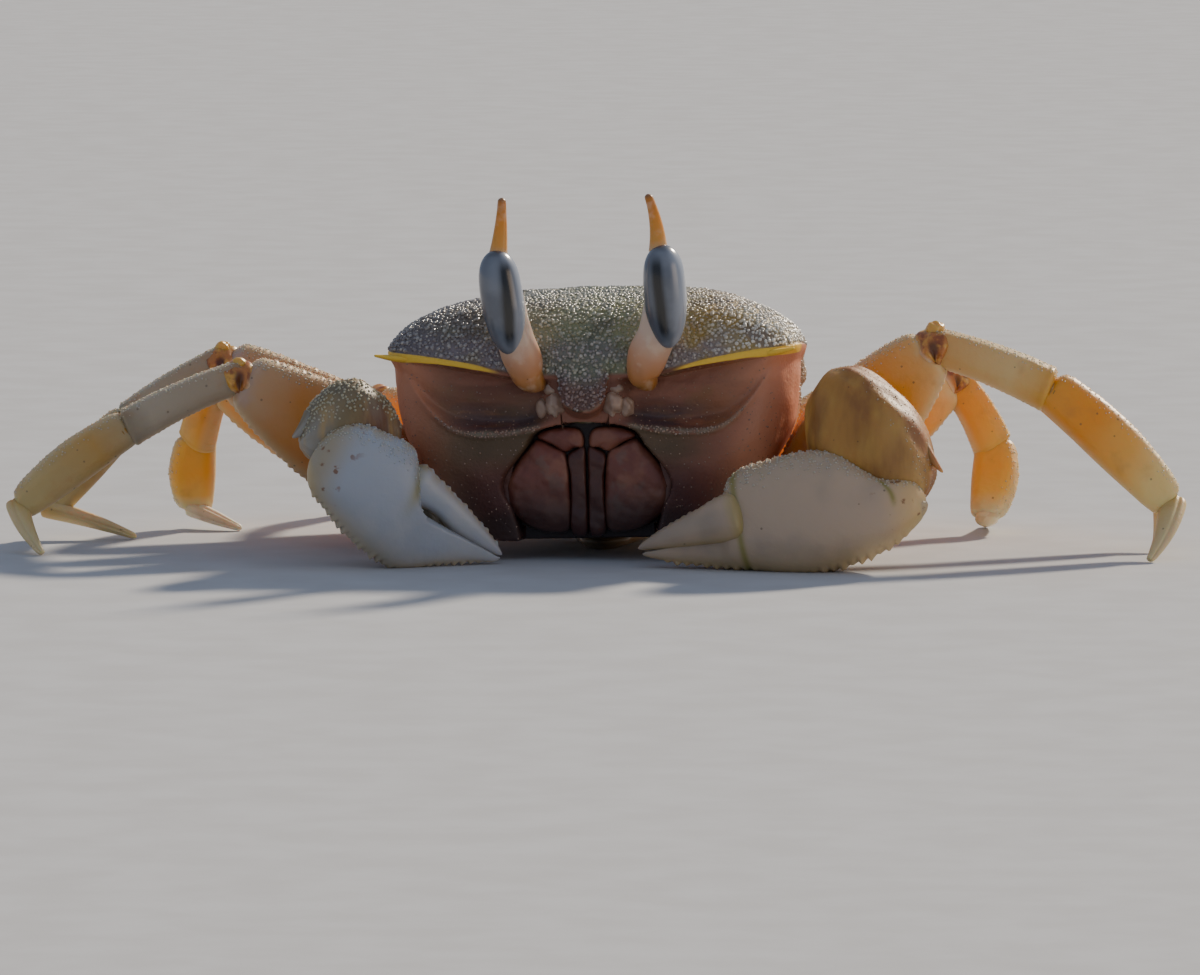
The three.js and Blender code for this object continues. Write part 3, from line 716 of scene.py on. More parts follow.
def carapace():
    """The shell with its two corner spines, the grid it was made from, and the marks on that grid.

    Smooth noise swells the grid along its normals, most at the brow, and not at all in the mouth.
    """
    grid, marks = carapace_grid()
    uneven = 0.05 * waves(grid, 5.0, SEED) + 0.03 * waves(grid, 2.2, SEED + 1)
    uneven += 0.26 * marks["brow"] * np.abs(waves(grid, 2.6, SEED + 6)) ** 0.7
    uneven += 0.03 * marks["orbit"] * waves(grid, 1.6, SEED + 7)
    grid = grid + grid_normals(grid) * (uneven * (1 - marks["mouth"]))[..., None]
    parts = [tube(grid, [0, 0, 6.8], [0, BACK_MIDDLE_Y, CARAPACE_TOP], **marks)]
    for side, reach in ((-1, 21.4), (1, 20.9)):
        parts.append(limb((side * 17.4, -16.4, 20.6), (side * reach, -17.4, 21.1), (0, 0, 1), CORNER_SPINE,
                          rings=30, sides=24, lip=1.0))
    return body_surface(join(parts)), grid, marks


# ---------------------------------------------------------------- limbs and claws of the crab

LEG_BASE = [[0, 1.5, 1.5, 1.5], [0.3, 2.1, 2.1, 1.9], [0.7, 1.9, 1.9, 1.7], [1, 1.1, 1.1, 1.0]]
MERUS = [[0, 1.3, 1.3, 0.9], [0.15, 3.1, 3.0, 1.5], [0.45, 4.9, 5.4, 2.1], [0.75, 4.0, 4.4, 2.2],
         [0.94, 3.0, 2.9, 2.0], [1, 2.3, 2.2, 1.6]]
CARPUS = [[0, 1.9, 1.9, 1.5], [0.1, 1.95, 1.95, 1.6], [0.5, 2.1, 2.05, 1.7], [0.9, 2.25, 2.3, 1.8],
          [1, 2.1, 2.15, 1.6]]
PROPODUS = [[0, 2.0, 2.0, 1.5], [0.1, 2.35, 2.3, 1.7], [0.5, 2.65, 2.6, 1.75], [0.85, 2.25, 2.2, 1.5],
            [1, 1.75, 1.7, 1.2]]
DACTYL = [[0, 1.3, 1.3, 0.95], [0.12, 1.4, 1.35, 1.0], [0.6, 1.0, 0.9, 0.75], [1, 0.4, 0.4, 0.35]]
SLEEVE = 0.9               # how far a segment reaches back into the one before it
LEG_BOW = 0.45

# Each walking leg: its size, the girth of its three outer segments, and its joints
# (base on the breastplate, hip, knee, wrist, ankle and tip).
LEGS = {
    "leg_left_1": (1.0, 1.0, [[11.0, -5.7, 4.3], [17.4, -7.0, 5.6], [32.7, -10.0, 20.9],
                         [44.6, -11.6, 16.6], [56.4, -12.2, 5.2], [54.0, -18.4, 0.2]]),
    "leg_left_2": (0.97, 0.86, [[11.4, -0.8, 4.3], [18.0, -1.0, 5.6], [32.4, -1.0, 20.0],
                                [44.2, -2.2, 15.8], [56.0, -3.2, 5.2], [55.0, -9.6, 0.2]]),
    "leg_left_3": (0.92, 1.0, [[11.2, 4.0, 4.3], [17.2, 5.4, 5.4], [35.2, 12.0, 15.8],
                          [39.6, 13.2, 8.6], [38.7, 8.8, 1.9], [38.9, 17.4, 0.3]]),
    "leg_left_4": (0.72, 1.0, [[9.8, 8.6, 4.3], [14.4, 12.0, 5.0], [24.0, 20.5, 13.2],
                          [27.0, 26.5, 9.4], [27.6, 31.5, 2.6], [24.4, 35.6, 0.1]]),
    "leg_right_1": (1.0, 0.86, [[-11.2, -3.3, 4.2], [-17.4, -4.6, 5.5], [-37.4, -7.6, 17.7],
                          [-49.0, -8.0, 12.4], [-59.7, -6.4, 4.4], [-57.2, -11.6, 0.2]]),
    "leg_right_2": (0.97, 0.86, [[-11.4, 1.6, 4.3], [-18.0, 1.6, 5.6], [-39.4, 3.0, 18.4],
                           [-49.4, 4.4, 12.0], [-57.4, 5.4, 3.0], [-48.4, 4.4, 0.3]]),
    "leg_right_3": (0.92, 1.0, [[-11.0, 6.4, 4.3], [-17.2, 8.0, 5.4], [-40.2, 12.2, 15.6],
                           [-42.6, 15.4, 8.8], [-42.8, 16.4, 1.9], [-38.0, 13.0, 0.3]]),
    "leg_right_4": (0.72, 1.0, [[-9.4, 11.0, 4.3], [-14.0, 14.0, 5.0], [-24.0, 20.5, 13.0],
                           [-26.6, 25.6, 9.4], [-26.8, 30.4, 2.6], [-24.0, 34.6, 0.1]]),
}

CLAW_MERUS = [[0, 1.5, 1.5, 1.3], [0.15, 2.6, 2.6, 2.0], [0.6, 3.6, 3.6, 2.7], [0.92, 2.9, 2.9, 2.4],
              [1, 1.6, 1.6, 1.4]]
SPINE = [[0, 1.7, 1.3, 1.2], [0.5, 0.8, 0.65, 0.6], [1, 0.12, 0.12, 0.14]]
SPUR = [[0, 1.3, 2.2, 1.6], [0.5, 1.1, 2.0, 1.4], [0.85, 0.6, 1.2, 0.9], [1, 0.2, 0.4, 0.3]]

# Each claw piece by the ends of its axis, the way its height points, and the profile along it. The girth
# scales the arm.
CLAWS = {
    "claw_left": {
        "merus": ((17.6, -11.4, 4.0), (24.6, -18.4, 16.0), (0, -0.4, 1), CLAW_MERUS),
        "girth": 0.95,
        "carpus": ((21.8, -20.4, 19.4), (31.0, -25.4, 7.0), (1, -0.3, 0.8),
                   [[0, 1.4, 1.8, 1.6], [0.12, 3.0, 4.2, 3.2], [0.35, 4.3, 6.6, 4.1],
                    [0.6, 4.6, 7.0, 4.2], [0.85, 3.2, 4.6, 3.4], [1, 1.6, 2.0, 1.8]]),
        "spine": ((29.2, -24.0, 14.2), (33.0, -26.2, 9.8), (0, 0, 1), SPINE),
        "palm": ((31.3, -27.4, 7.3), (3.2, -23.2, 1.4), (0, 0.25, 1),
                 [[0, 1.2, 1.2, 0.9], [0.05, 2.3, 2.4, 2.0], [0.14, 2.9, 3.9, 2.9],
                  [0.28, 6.2, 4.9, 3.5], [0.42, 6.9, 5.2, 3.6], [0.54, 6.7, 4.5, 3.4],
                  [0.63, 6.3, 3.6, 3.0], [0.68, 4.6, 3.2, 2.6], [0.72, -0.2, 2.9, 1.7],
                  [0.8, -0.2, 2.2, 1.2], [0.9, -0.15, 1.3, 0.9], [1, 0.05, 0.3, 0.35]]),
        "spurs": [((27.6, -27.2, 6.5), (31.5, -27.6, 6.8), (0, 0, 1), SPUR)],
        "finger": ((13.4, -26.6, 5.7), (2.8, -23.0, 1.9), (0, 0.25, 1),
                   [[0, 1.8, 1.9, 1.6], [0.12, 2.5, 2.3, 2.1], [0.4, 1.9, 1.7, 1.7],
                    [0.75, 1.1, 0.9, 1.1], [1, 0.25, 0.2, 0.3]]),
    },
    "claw_right": {
        "merus": ((-17.0, -10.4, 3.8), (-25.0, -16.8, 10.6), (0, -0.4, 1), CLAW_MERUS),
        "girth": 0.75,
        "carpus": ((-21.0, -18.4, 12.9), (-30.8, -23.0, 12.6), (0, -0.2, 1),
                   [[0, 1.6, 1.5, 1.4], [0.2, 4.2, 2.6, 2.6], [0.5, 6.0, 3.0, 3.2],
                    [0.8, 4.6, 2.4, 2.8], [1, 1.6, 1.2, 1.4]]),
        "spine": ((-29.4, -22.2, 14.4), (-31.6, -23.0, 13.0), (0, 0, 1), SPINE),
        "palm": ((-29.6, -25.4, 11.3), (-11.0, -19.6, 0.6), (0.5, 0.2, 0.86),
                 [[0, 2.2, 1.0, 1.0], [0.06, 4.2, 2.8, 2.0], [0.16, 5.3, 3.8, 2.9],
                  [0.28, 5.5, 4.9, 3.3], [0.4, 5.5, 5.6, 3.3], [0.48, 3.2, 5.8, 3.0],
                  [0.54, 0.6, 6.0, 2.6], [0.62, -0.4, 5.4, 1.9], [0.74, -0.6, 3.6, 1.4],
                  [0.88, -0.5, 1.7, 0.9], [1, 0.0, 0.5, 0.35]]),
        "spurs": [],
        "finger": ((-20.8, -22.6, 9.0), (-10.8, -19.2, 0.9), (0.65, 0.1, 0.75),
                   [[0, 1.5, 2.0, 1.6], [0.1, 2.4, 2.7, 2.1], [0.24, 2.2, 1.3, 1.9], [0.38, 1.95, 1.0, 1.6],
                    [0.6, 1.5, 1.4, 1.3], [0.85, 0.8, 0.9, 0.8], [1, 0.2, 0.25, 0.3]]),
    },
}


def above_floor(surface):
    """Presses what would lie below the floor flat against it."""
    surface.points[:, 2] = np.maximum(surface.points[:, 2], 0)
    return surface


def leg_segments(scale, girth, joints):
    """The five segments of a leg, by name, as limb arguments."""
    base, hip, knee, wrist, ankle, tip = np.array(joints)
    up = (0, 0, 1)
    outward = (math.copysign(1, base[0]), 0, 0.4)
    segments = {
        "base": dict(start=base, end=hip, up=up, profile=LEG_BASE, scale=scale),
        "merus": dict(start=hip, end=knee, up=up, profile=MERUS, scale=scale),
    }
    slim = scale * girth
    for name, start, end, lift, profile in (("carpus", knee, wrist, up, CARPUS),
                                            ("propodus", wrist, ankle, outward, PROPODUS),
                                            ("dactyl", ankle, tip, outward, DACTYL)):
        start = start - SLEEVE * scale * unit(end - start)
        segments[name] = dict(start=start, end=end, up=lift, profile=profile, bow=LEG_BOW * slim, scale=slim)
    return segments


def merus_relief(t, turn, seed):
    """A saw edge below, a finer one above, and a shallow groove along each face."""
    lower = teeth(t, turn, BOTTOM, 30, 0.3, seed, width=0.22)
    upper = teeth(t, turn, TOP, 34, 0.2, seed + 1, width=0.3)
    return lower + upper + ridge(turn, math.pi, -0.12, 0.5) + ridge(turn, 0, -0.12, 0.5)


def carpus_relief(t, turn, seed):
    """Two ridges along the upper corners, a collar at the far end and a fine saw edge below."""
    ridges = ridge(turn, 0.75 * math.pi, 0.16, 0.25) + ridge(turn, 0.25 * math.pi, 0.16, 0.25)
    collar = 0.12 * ramp(0.9, 0.95, t) * ramp(1.0, 0.97, t)
    return ridges + collar + teeth(t, turn, BOTTOM, 24, 0.12, seed, width=0.25)


def propodus_relief(t, turn, seed):
    """A groove along each face and a fine saw edge above."""
    grooves = ridge(turn, math.pi, -0.14, 0.3) + ridge(turn, 0, -0.14, 0.3)
    return grooves + teeth(t, turn, TOP, 30, 0.12, seed, width=0.35)


def dactyl_relief(_t, turn, _seed):
    """Sharp edges above and below, and a groove on each side of the upper one."""
    sharp = ridge(turn, TOP, 0.12, 0.3) + ridge(turn, BOTTOM, 0.08, 0.3)
    return sharp + ridge(turn, 0.8, -0.16, 0.2) + ridge(turn, math.pi - 0.8, -0.16, 0.2)


def arm_relief(t, turn, seed):
    """The claw's arm: a saw edge along its crest."""
    return teeth(t, turn, TOP, 22, 0.25, seed)


def wrist_relief(t, turn, seed):
    """The claw's wrist: low lumps, and a row of fine teeth along one side."""
    lumps = 0.12 * np.sin(9 * turn + 7 * t) * np.sin(11 * t)
    return lumps + teeth(t, turn, 0.3, 26, 0.2, seed, width=0.12)


def hand_relief(t, turn, seed):
    """The claw's hand: coarse teeth along its lower edge, and finer ones above, on the palm only."""
    lower = teeth(t, turn, BOTTOM, 30, 0.6, seed, width=0.2)
    return lower + teeth(t, turn, TOP, 34, 0.3, seed + 2, width=0.2, high=0.62)


def finger_relief(t, turn, seed):
    """The claw's moving finger: a saw edge along its crest."""
    return teeth(t, turn, TOP, 16, 0.3, seed + 4, width=0.25)


RELIEFS = {"merus": merus_relief, "carpus": carpus_relief, "propodus": propodus_relief,
           "dactyl": dactyl_relief}


# ---------------------------------------------------------------- finishes

# Across the back, from the crab's right to its left:
BACK_STOPS = [(0.0, "#645a5a"), (0.22, "#786a54"), (0.4, "#868862"), (0.6, "#8a885e"), (0.76, "#9e7e30"),
              (0.92, "#a89560"), (1.0, "#b9ae98")]
BACK_DRIFT = 5 * MM         # how far a slow noise shifts those colours either way


def back_colour(tree, place):
    """Olive in the middle of the back, violet-grey to the crab's right, golden brown to its left."""
    across = add(tree, "ShaderNodeSeparateXYZ", {0: place}).outputs["X"]
    noise = add(tree, "ShaderNodeTexNoise", {"Vector": place, "Scale": 1 / (9 * MM), "Detail": 3.0})
    shifted = {0: noise.outputs[0], 1: 2 * BACK_DRIFT, 2: across}
    moved = add(tree, "ShaderNodeMath", shifted, operation="MULTIPLY_ADD").outputs[0]
    half = CARAPACE_WIDTH / 2 * MM
    ends = {"Value": moved, "From Min": BACK_DRIFT - half, "From Max": BACK_DRIFT + half}
    share = add(tree, "ShaderNodeMapRange", ends).outputs[0]
    ground = add(tree, "ShaderNodeValToRGB", {"Fac": share}, stops=BACK_STOPS).outputs[0]
    return coats(tree, ground,
                 ("#4a3f36", patches(tree, place, 5 * MM, 0.5, 0.68), 0.55),
                 ("#93937c", patches(tree, place, 3 * MM, 0.52, 0.7), 0.35),
                 ("#867a82", "hem", patches(tree, place, 2.5 * MM, 0.3, 0.6), 0.8))


def carapace_finish(lip):
    """Carapace, grown and calcified: satin, olive and granular above, brick-red and smooth in the face.

    The pits are 0.42 mm apart, about as far as the granules.
    """
    material, tree, place = new_tree("carapace_grown_granular")
    streaks = add(tree, "ShaderNodeMapping", {"Vector": place, "Scale": (0.35, 1.0, 1.6)}).outputs[0]
    height = add(tree, "ShaderNodeSeparateXYZ", {0: place}).outputs["Z"]
    face = coats(
        tree, "#754632",
        ("#96614a", patches(tree, streaks, 3.2 * MM, 0.45, 0.62), 0.75),
        ("#8a6d4e", "orbit", patches(tree, streaks, 6 * MM, 0.5, 0.7), 0.5),
        ("#6e5c38", "orbit", patches(tree, place, 4.4 * MM, 0.5, 0.64), 0.5),
        # A violet-grey band, darkened as painted shade where the orbit's hollow is deepest.
        ("#4b3a40", "trough", patches(tree, streaks, 2 * MM, 0.3, 0.55), 0.8),
        ("#a4602c", "left", "orbit", patches(tree, streaks, 5 * MM, 0.2, 0.6)),
        ("#57492f", ("below", 0.05, 0.16), ("below", 0.62, 0.3), 0.85),
        # Painted shade: below the suborbital ridge the face darkens to deep maroon towards the floor, over
        # its own reddish brown.
        ("#4f2c2a", ("below", 0.3, 0.75), 0.9),
        ("#a45844", "left", ("below", 0.02, 0.2), 0.85),
        ("#35201b", ("below", 0.8, 1.0), 0.85),
        ("#7d7a66", ("ledge", 0.15, 0.9), patches(tree, place, 1.5 * MM, 0.3, 0.6), 0.7),
        # Painted shade: the hollow of the mouth frame behind the plates is painted nearly black.
        ("#1d0f0d", "mouth"),
        # The front corners: own pinkish red, painted brighter as painted light.
        ("#cf8463", ("corner", 0.1, 0.7), 0.85),
    )
    flank = coats(tree, "#c79a78",
                  ("#ab8064", patches(tree, place, 4 * MM), 0.6),
                  ("#d6c2a4", (height, 11 * MM, 6.5 * MM), 0.7),
                  ("#7c745a", "upper", 0.8),
                  # The front of the flank: own pinkish red, painted brighter as painted light.
                  ("#cf8a6a", "corner"))
    above = coats(tree, back_colour(tree, place),
                  ("#6a6f60", "brow", 0.8),
                  ("#6b483e", ("tongue", 0.35, 0.85), 0.95))
    colour = coats(tree, face, (flank, "flank"), (above, "back"), (tuple(lip), ("lip", 0.2, 0.6)))
    noise = {"Vector": place, "Scale": 1 / (0.35 * MM), "Detail": 4.0}
    fine = add(tree, "ShaderNodeTexNoise", noise).outputs[0]
    pits = add(tree, "ShaderNodeTexVoronoi", {"Vector": place, "Scale": 1 / (0.42 * MM)}).outputs["Distance"]
    deepened = {0: strength(tree, [pits, "back"]), 1: -2.2, 2: fine}
    relief = add(tree, "ShaderNodeMath", deepened, operation="MULTIPLY_ADD").outputs[0]
    satin = {0: strength(tree, ["back"]), 1: -0.18, 2: 0.58}
    roughness = add(tree, "ShaderNodeMath", satin, operation="MULTIPLY_ADD").outputs[0]
    finish_shell(tree, place, colour, roughness, relief, 0.08 * MM, glow=0.08)
    return material


def granule_finish():
    """Granules of the shell: rounded and polished, so they glitter; paler than the shell below them."""
    material, tree, place = new_tree("carapace_granules_polished")
    colour = coats(tree, back_colour(tree, place),
                   ("#f0ecde", "pale", 0.85),
                   ("#806058", ("tongue", 0.35, 0.85), 0.85),
                   ("#a07a64", "face", 0.75),
                   ("#6d6a70", patches(tree, place, 2 * MM, 0.45, 0.6), 0.3))
    finish_shell(tree, place, colour, 0.22, 0.2 * MM, 0.01 * MM, detail=2.0, coat=0.6)
    return material


def orange_leg_finish(name, stops, edge, blotch):
    """Thin leg shell over orange flesh: waxy and translucent, cream where the shell is thick.

    The colour runs along the segment, shifted to and fro by a slow noise.
    """
    material, tree, place = new_tree(name)
    noise = add(tree, "ShaderNodeTexNoise", {"Vector": place, "Scale": 1 / (4 * MM), "Detail": 3.0})
    drift = {0: noise.outputs[0], 1: 0.24, 2: -0.12}
    shift = add(tree, "ShaderNodeMath", drift, operation="MULTIPLY_ADD").outputs[0]
    way = add(tree, "ShaderNodeMath", {0: strength(tree, ["along"]), 1: shift}, operation="ADD").outputs[0]
    edges = {0: strength(tree, ["crest"]), 1: strength(tree, ["keel"])}
    both = add(tree, "ShaderNodeMath", edges, operation="ADD").outputs[0]
    colour = coats(
        tree, add(tree, "ShaderNodeValToRGB", {"Fac": way}, stops=stops).outputs[0],
        (edge, (both, 0.1, 0.9), 0.6),
        (blotch, patches(tree, place, 2.6 * MM, 0.52, 0.75), 0.3),
        ("#5a4630", "crest", specks(tree, place, 0.7 * MM, 0.1 * MM), 0.4),
        ("#5d4a34", specks(tree, place, 1.6 * MM, 0.15 * MM), 0.55),
        ("#f2e6cc", "bead", 0.5),
    )
    finish_shell(tree, place, colour, 0.42, 0.5 * MM, 0.06 * MM, detail=5.0, glow=0.35)
    return material


def claw_finish(name, ground, cloud, wrist):
    """Claw hand: thick calcified shell, smooth as unglazed porcelain, with cream margins and dark specks."""
    material, tree, place = new_tree(name)
    shell = coats(
        tree, ground,
        (cloud, patches(tree, place, 8 * MM, 0.42, 0.62), 0.8),
        (wrist, ("along", 0.16, 0.02), "wrist"),
        ("#b3a07c", "crest", patches(tree, place, 1.2 * MM, 0.35, 0.6), 0.8),
        ("#c8ad70", "keel", 0.6),
        ("#8c8434", "hinge", 0.85),
        ("#7c4c20", ("along", 0.2, 0.1), "wrist", patches(tree, place, 1.1 * MM, 0.62, 0.7), 0.8),
        ("#4a3a22", specks(tree, place, 3.2 * MM, 0.15 * MM), 0.6),
        ("#ded8c8", "bead", 0.35),
    )
    finish_shell(tree, place, shell, 0.4, 0.8 * MM, 0.06 * MM, detail=5.0, glow=0.25)
    return material


def dome_finish(name, near, far, stops, top, streak, glow):
    """The claw's wrist: a translucent shell dome, mottled in upright streaks.

    Its colour runs along X from near to far (millimetres), shifted by a slow noise of up to 1.5 mm.
    """
    material, tree, place = new_tree(name)
    across = add(tree, "ShaderNodeSeparateXYZ", {0: place}).outputs["X"]
    noise = add(tree, "ShaderNodeTexNoise", {"Vector": place, "Scale": 1 / (5 * MM), "Detail": 3.0})
    shift = 1.5 * MM
    drift = {0: noise.outputs[0], 1: 2 * shift, 2: across}
    moved = add(tree, "ShaderNodeMath", drift, operation="MULTIPLY_ADD").outputs[0]
    ends = {"Value": moved, "From Min": near * MM + shift, "From Max": far * MM + shift}
    share = add(tree, "ShaderNodeMapRange", ends).outputs[0]
    upright = add(tree, "ShaderNodeMapping", {"Vector": place, "Scale": (1.0, 1.0, 0.3)}).outputs[0]
    colour = coats(
        tree, add(tree, "ShaderNodeValToRGB", {"Fac": share}, stops=stops).outputs[0],
        (streak, patches(tree, upright, 2.4 * MM, 0.36, 0.72), 0.75),
        (top, ("crest", 0.05, 0.9), 0.8),
        ("#c9a04c", patches(tree, upright, 1.4 * MM, 0.45, 0.8), 0.45),
        ("#4a2f1a", specks(tree, place, 2.0 * MM, 0.14 * MM), 0.6),
        ("#d6ceb4", "bead", 0.5),
    )
    finish_shell(tree, place, colour, 0.5, 0.5 * MM, 0.06 * MM, detail=5.0, glow=glow)
    return material


def cornea_finish(stripe):
    """Compound eye: smooth cornea, blue-grey and glossy, with a soft dark upright band.

    Its facets, really 0.03 mm across, are drawn 0.12 mm across so that they show at all.
    """
    material, tree, place = new_tree("cornea_smooth")
    colour = coats(
        tree, "#626872",
        ("#858c97", patches(tree, place, 4 * MM, 0.4, 0.65), 0.6),
        # Painted light and shade: the cornea is painted paler on its side towards +X and darker on the other
        # side, as the light falls on it.
        ("#adb5c0", "bright", 0.85),
        ("#4a505c", "shade", 0.6),
        ("#33343b", "pole", 0.75),
        (tuple(stripe), "stripe"),
    )
    facets = add(tree, "ShaderNodeTexVoronoi", {"Vector": place, "Scale": 1 / (0.12 * MM)})
    finish_shell(tree, place, colour, 0.22, facets.outputs["Distance"], 0.002 * MM, coat=0.6)
    return material


def soft_finish(name, stops, glow=0.3):
    """Smooth tinted shell or skin, faintly wet, whose colour runs along its length."""
    material, tree, place = new_tree(name)
    ground = add(tree, "ShaderNodeValToRGB", {"Fac": strength(tree, ["along"])}, stops=stops)
    colour = coats(tree, ground.outputs[0],
                   ("#f0dcc4", patches(tree, place, 1.6 * MM, 0.52, 0.7), 0.25),
                   ("#5c3a28", specks(tree, place, 1.8 * MM, 0.1 * MM), 0.5))
    finish_shell(tree, place, colour, 0.4, 0.4 * MM, 0.03 * MM, glow=glow, coat=0.2)
    return material


def knee_finish():
    """Joint skin of the knee: soft and damp, blotched yellow and rust, with a dark brown hollow in front."""
    material, tree, place = new_tree("knee_skin_soft")
    colour = coats(
        tree, "#c07a38",
        ("#e2ac48", patches(tree, place, 1.5 * MM, 0.44, 0.6), 0.85),
        ("#8c4822", patches(tree, place, 1.1 * MM, 0.5, 0.64), 0.8),
        ("#ecd0ac", ("along", 0.3, 0.08), 0.85),
        ("#5a2a12", ("pit", 0.3, 0.8), 0.9),
        ("#e0aa3c", "knob", 0.9),
    )
    finish_shell(tree, place, colour, 0.35, 0.5 * MM, 0.06 * MM, glow=0.25, coat=0.2)
    return material


def mouthpart_finish():
    """Outer mouthparts: smooth brick-red plates, mottled, darker towards the floor."""
    material, tree, place = new_tree("mouthpart_plate_smooth")
    height = add(tree, "ShaderNodeSeparateXYZ", {0: place}).outputs["Z"]
    colour = coats(
        tree, "#7a4234",
        ("#95604a", patches(tree, place, 2.6 * MM, 0.45, 0.62), 0.7),
        ("#6a6358", patches(tree, place, 1.8 * MM, 0.55, 0.7), 0.35),
        # Painted shade: the plates darken towards the floor, the inner and side plates set deeper are painted
        # darker, and each plate's rim is painted dark as the shade of the groove round it.
        ("#2e1a17", (height, 9.0 * MM, 4.0 * MM), 0.85),
        ("#3e1c16", "deep", 0.8),
        ("#1c0e0c", "edge", 0.85),
    )
    finish_shell(tree, place, colour, 0.42, 0.7 * MM, 0.05 * MM, glow=0.1)
    return material


def belly_finish():
    """Underside: smooth thin shell, cream with tan blotches, dark towards the front."""
    material, tree, place = new_tree("belly_shell_smooth")
    depth = add(tree, "ShaderNodeSeparateXYZ", {0: place}).outputs["Y"]
    colour = coats(tree, "#cbb595",
                   ("#b49670", patches(tree, place, 4 * MM)),
                   ("#8f7a60", patches(tree, place, 1.5 * MM, 0.55, 0.7), 0.4),
                   # Painted shade: the belly darkens towards the front, under the mouth, where the body
                   # shades it.
                   ("#4a3a26", (depth, -3 * MM, -9 * MM)))
    finish_shell(tree, place, colour, 0.45, 0.6 * MM, 0.03 * MM, detail=2.0, glow=0.1)
    return material


def plain_floor_finish(paint):
    """Studio floor: matt paint with a very faint mottle."""
    material, tree, place = new_tree("floor_matt_paint")
    colour = coats(tree, tuple(paint), ("#bbbcbd", patches(tree, place, 8 * MM, 0.3, 0.7)))
    shader = add(tree, "ShaderNodeBsdfPrincipled", {"Base Color": colour, "Roughness": 0.9})
    add(tree, "ShaderNodeOutputMaterial", {"Surface": shader.outputs[0]})
    return material


# ---------------------------------------------------------------- settings

class CrabLook(bpy.types.PropertyGroup):
    """Sizes, lights and colours that a user would change."""

    granule_pitch: bpy.props.FloatProperty(
        name="Granule Pitch", description="Distance between the granules of the back",
        default=0.43 * MM, min=0.2 * MM, unit="LENGTH")
    granule_radius: bpy.props.FloatProperty(
        name="Granule Radius", description="Radius of the largest granules",
        default=0.26 * MM, min=0.05 * MM, unit="LENGTH")
    floor_size: bpy.props.FloatProperty(
        name="Floor Size", description="Half the width of the studio floor", default=8.0, unit="LENGTH")
    floor_colour: bpy.props.FloatVectorProperty(
        name="Floor Colour", description="Paint of the studio floor", subtype="COLOR", size=4,
        min=0.0, max=1.0, default=rgba("#c2c4c6"))
    lip_colour: bpy.props.FloatVectorProperty(
        name="Lip Colour", description="The bright line along the front edge of the back", subtype="COLOR",
        size=4, min=0.0, max=1.0, default=rgba("#f7c944"))
    stripe_colour: bpy.props.FloatVectorProperty(
        name="Eye Band", description="The dark upright band of the eyes", subtype="COLOR", size=4,
        min=0.0, max=1.0, default=rgba("#020203"))
    key_strength: bpy.props.FloatProperty(
        name="Key Light", description="Strength of the key light from behind the crab's left", default=4.9)
    key_softness: bpy.props.FloatProperty(
        name="Key Softness", description="Angle the key light fills in the sky", default=math.radians(6),
        subtype="ANGLE")
    bounce_power: bpy.props.FloatProperty(
        name="Bounce", description="Power of the soft warm light from the crab's left", default=1.3,
        unit="POWER")
    fill_level: bpy.props.FloatProperty(
        name="Fill", description="Strength of the even light all round", default=0.5)


# ---------------------------------------------------------------- pieces

SPRINKLED = 120000          # points spread over the shell, from which the granules' places are drawn


def back_granules(spot, flat, pitch, largest, draw):
    """Which points of the back carry a granule, how large each is, and how pale."""
    bare = draw.uniform(size=len(spot)) < 0.35 * flat["brow"]
    rows = scattered(spot, pitch, SEED, (flat["back"] > 0.5) & (flat["lip"] < 0.02) & ~bare)
    radii = largest * draw.uniform(0.45, 1.0, len(rows))
    pale = 0.05 + 0.45 * draw.uniform(0, 1, len(rows)) ** 2 + 0.8 * ramp(11, 19, spot[rows, 0])
    return rows, radii, np.clip(pale, 0, 1)


def fine_granules(spot, flat, pitch, largest, draw):
    """The same for the ledges, the flanks, the corners and the face, and how much each is the face's."""
    smooth = (flat["back"] < 0.5) & (flat["mouth"] < 0.1) & (flat["lip"] < 0.05)
    ledge = scattered(spot, 0.32, SEED + 2, smooth & (flat["ledge"] > 0.6))
    side = scattered(spot, pitch, SEED + 4, smooth & (flat["upper"] > draw.uniform(0.2, 1, len(spot))))
    face = scattered(spot, 1.1, SEED + 3, smooth & (flat["orbit"] + flat["below"] > 0.1))
    front = flat["corner"] * (1 - flat["flank"])
    corner = scattered(spot, 0.5, SEED + 5, smooth & (front > draw.uniform(0.4, 2.0, len(spot))))
    rows = np.concatenate([ledge, side, corner, face])
    radii = largest * np.where(np.arange(len(rows)) < len(rows) - len(face), 0.6, 0.4)
    radii = radii * draw.uniform(0.5, 1.0, len(rows))
    # Granules on the front corners are painted pale: painted light where the light grazes the corners.
    painted_light_corner = front[rows] > 0.3
    pale = np.where(painted_light_corner, 0.9, draw.uniform(0.0, 0.5, len(rows)))
    return rows, radii, pale, np.where(painted_light_corner, 0.0, 1 - flat["upper"][rows])


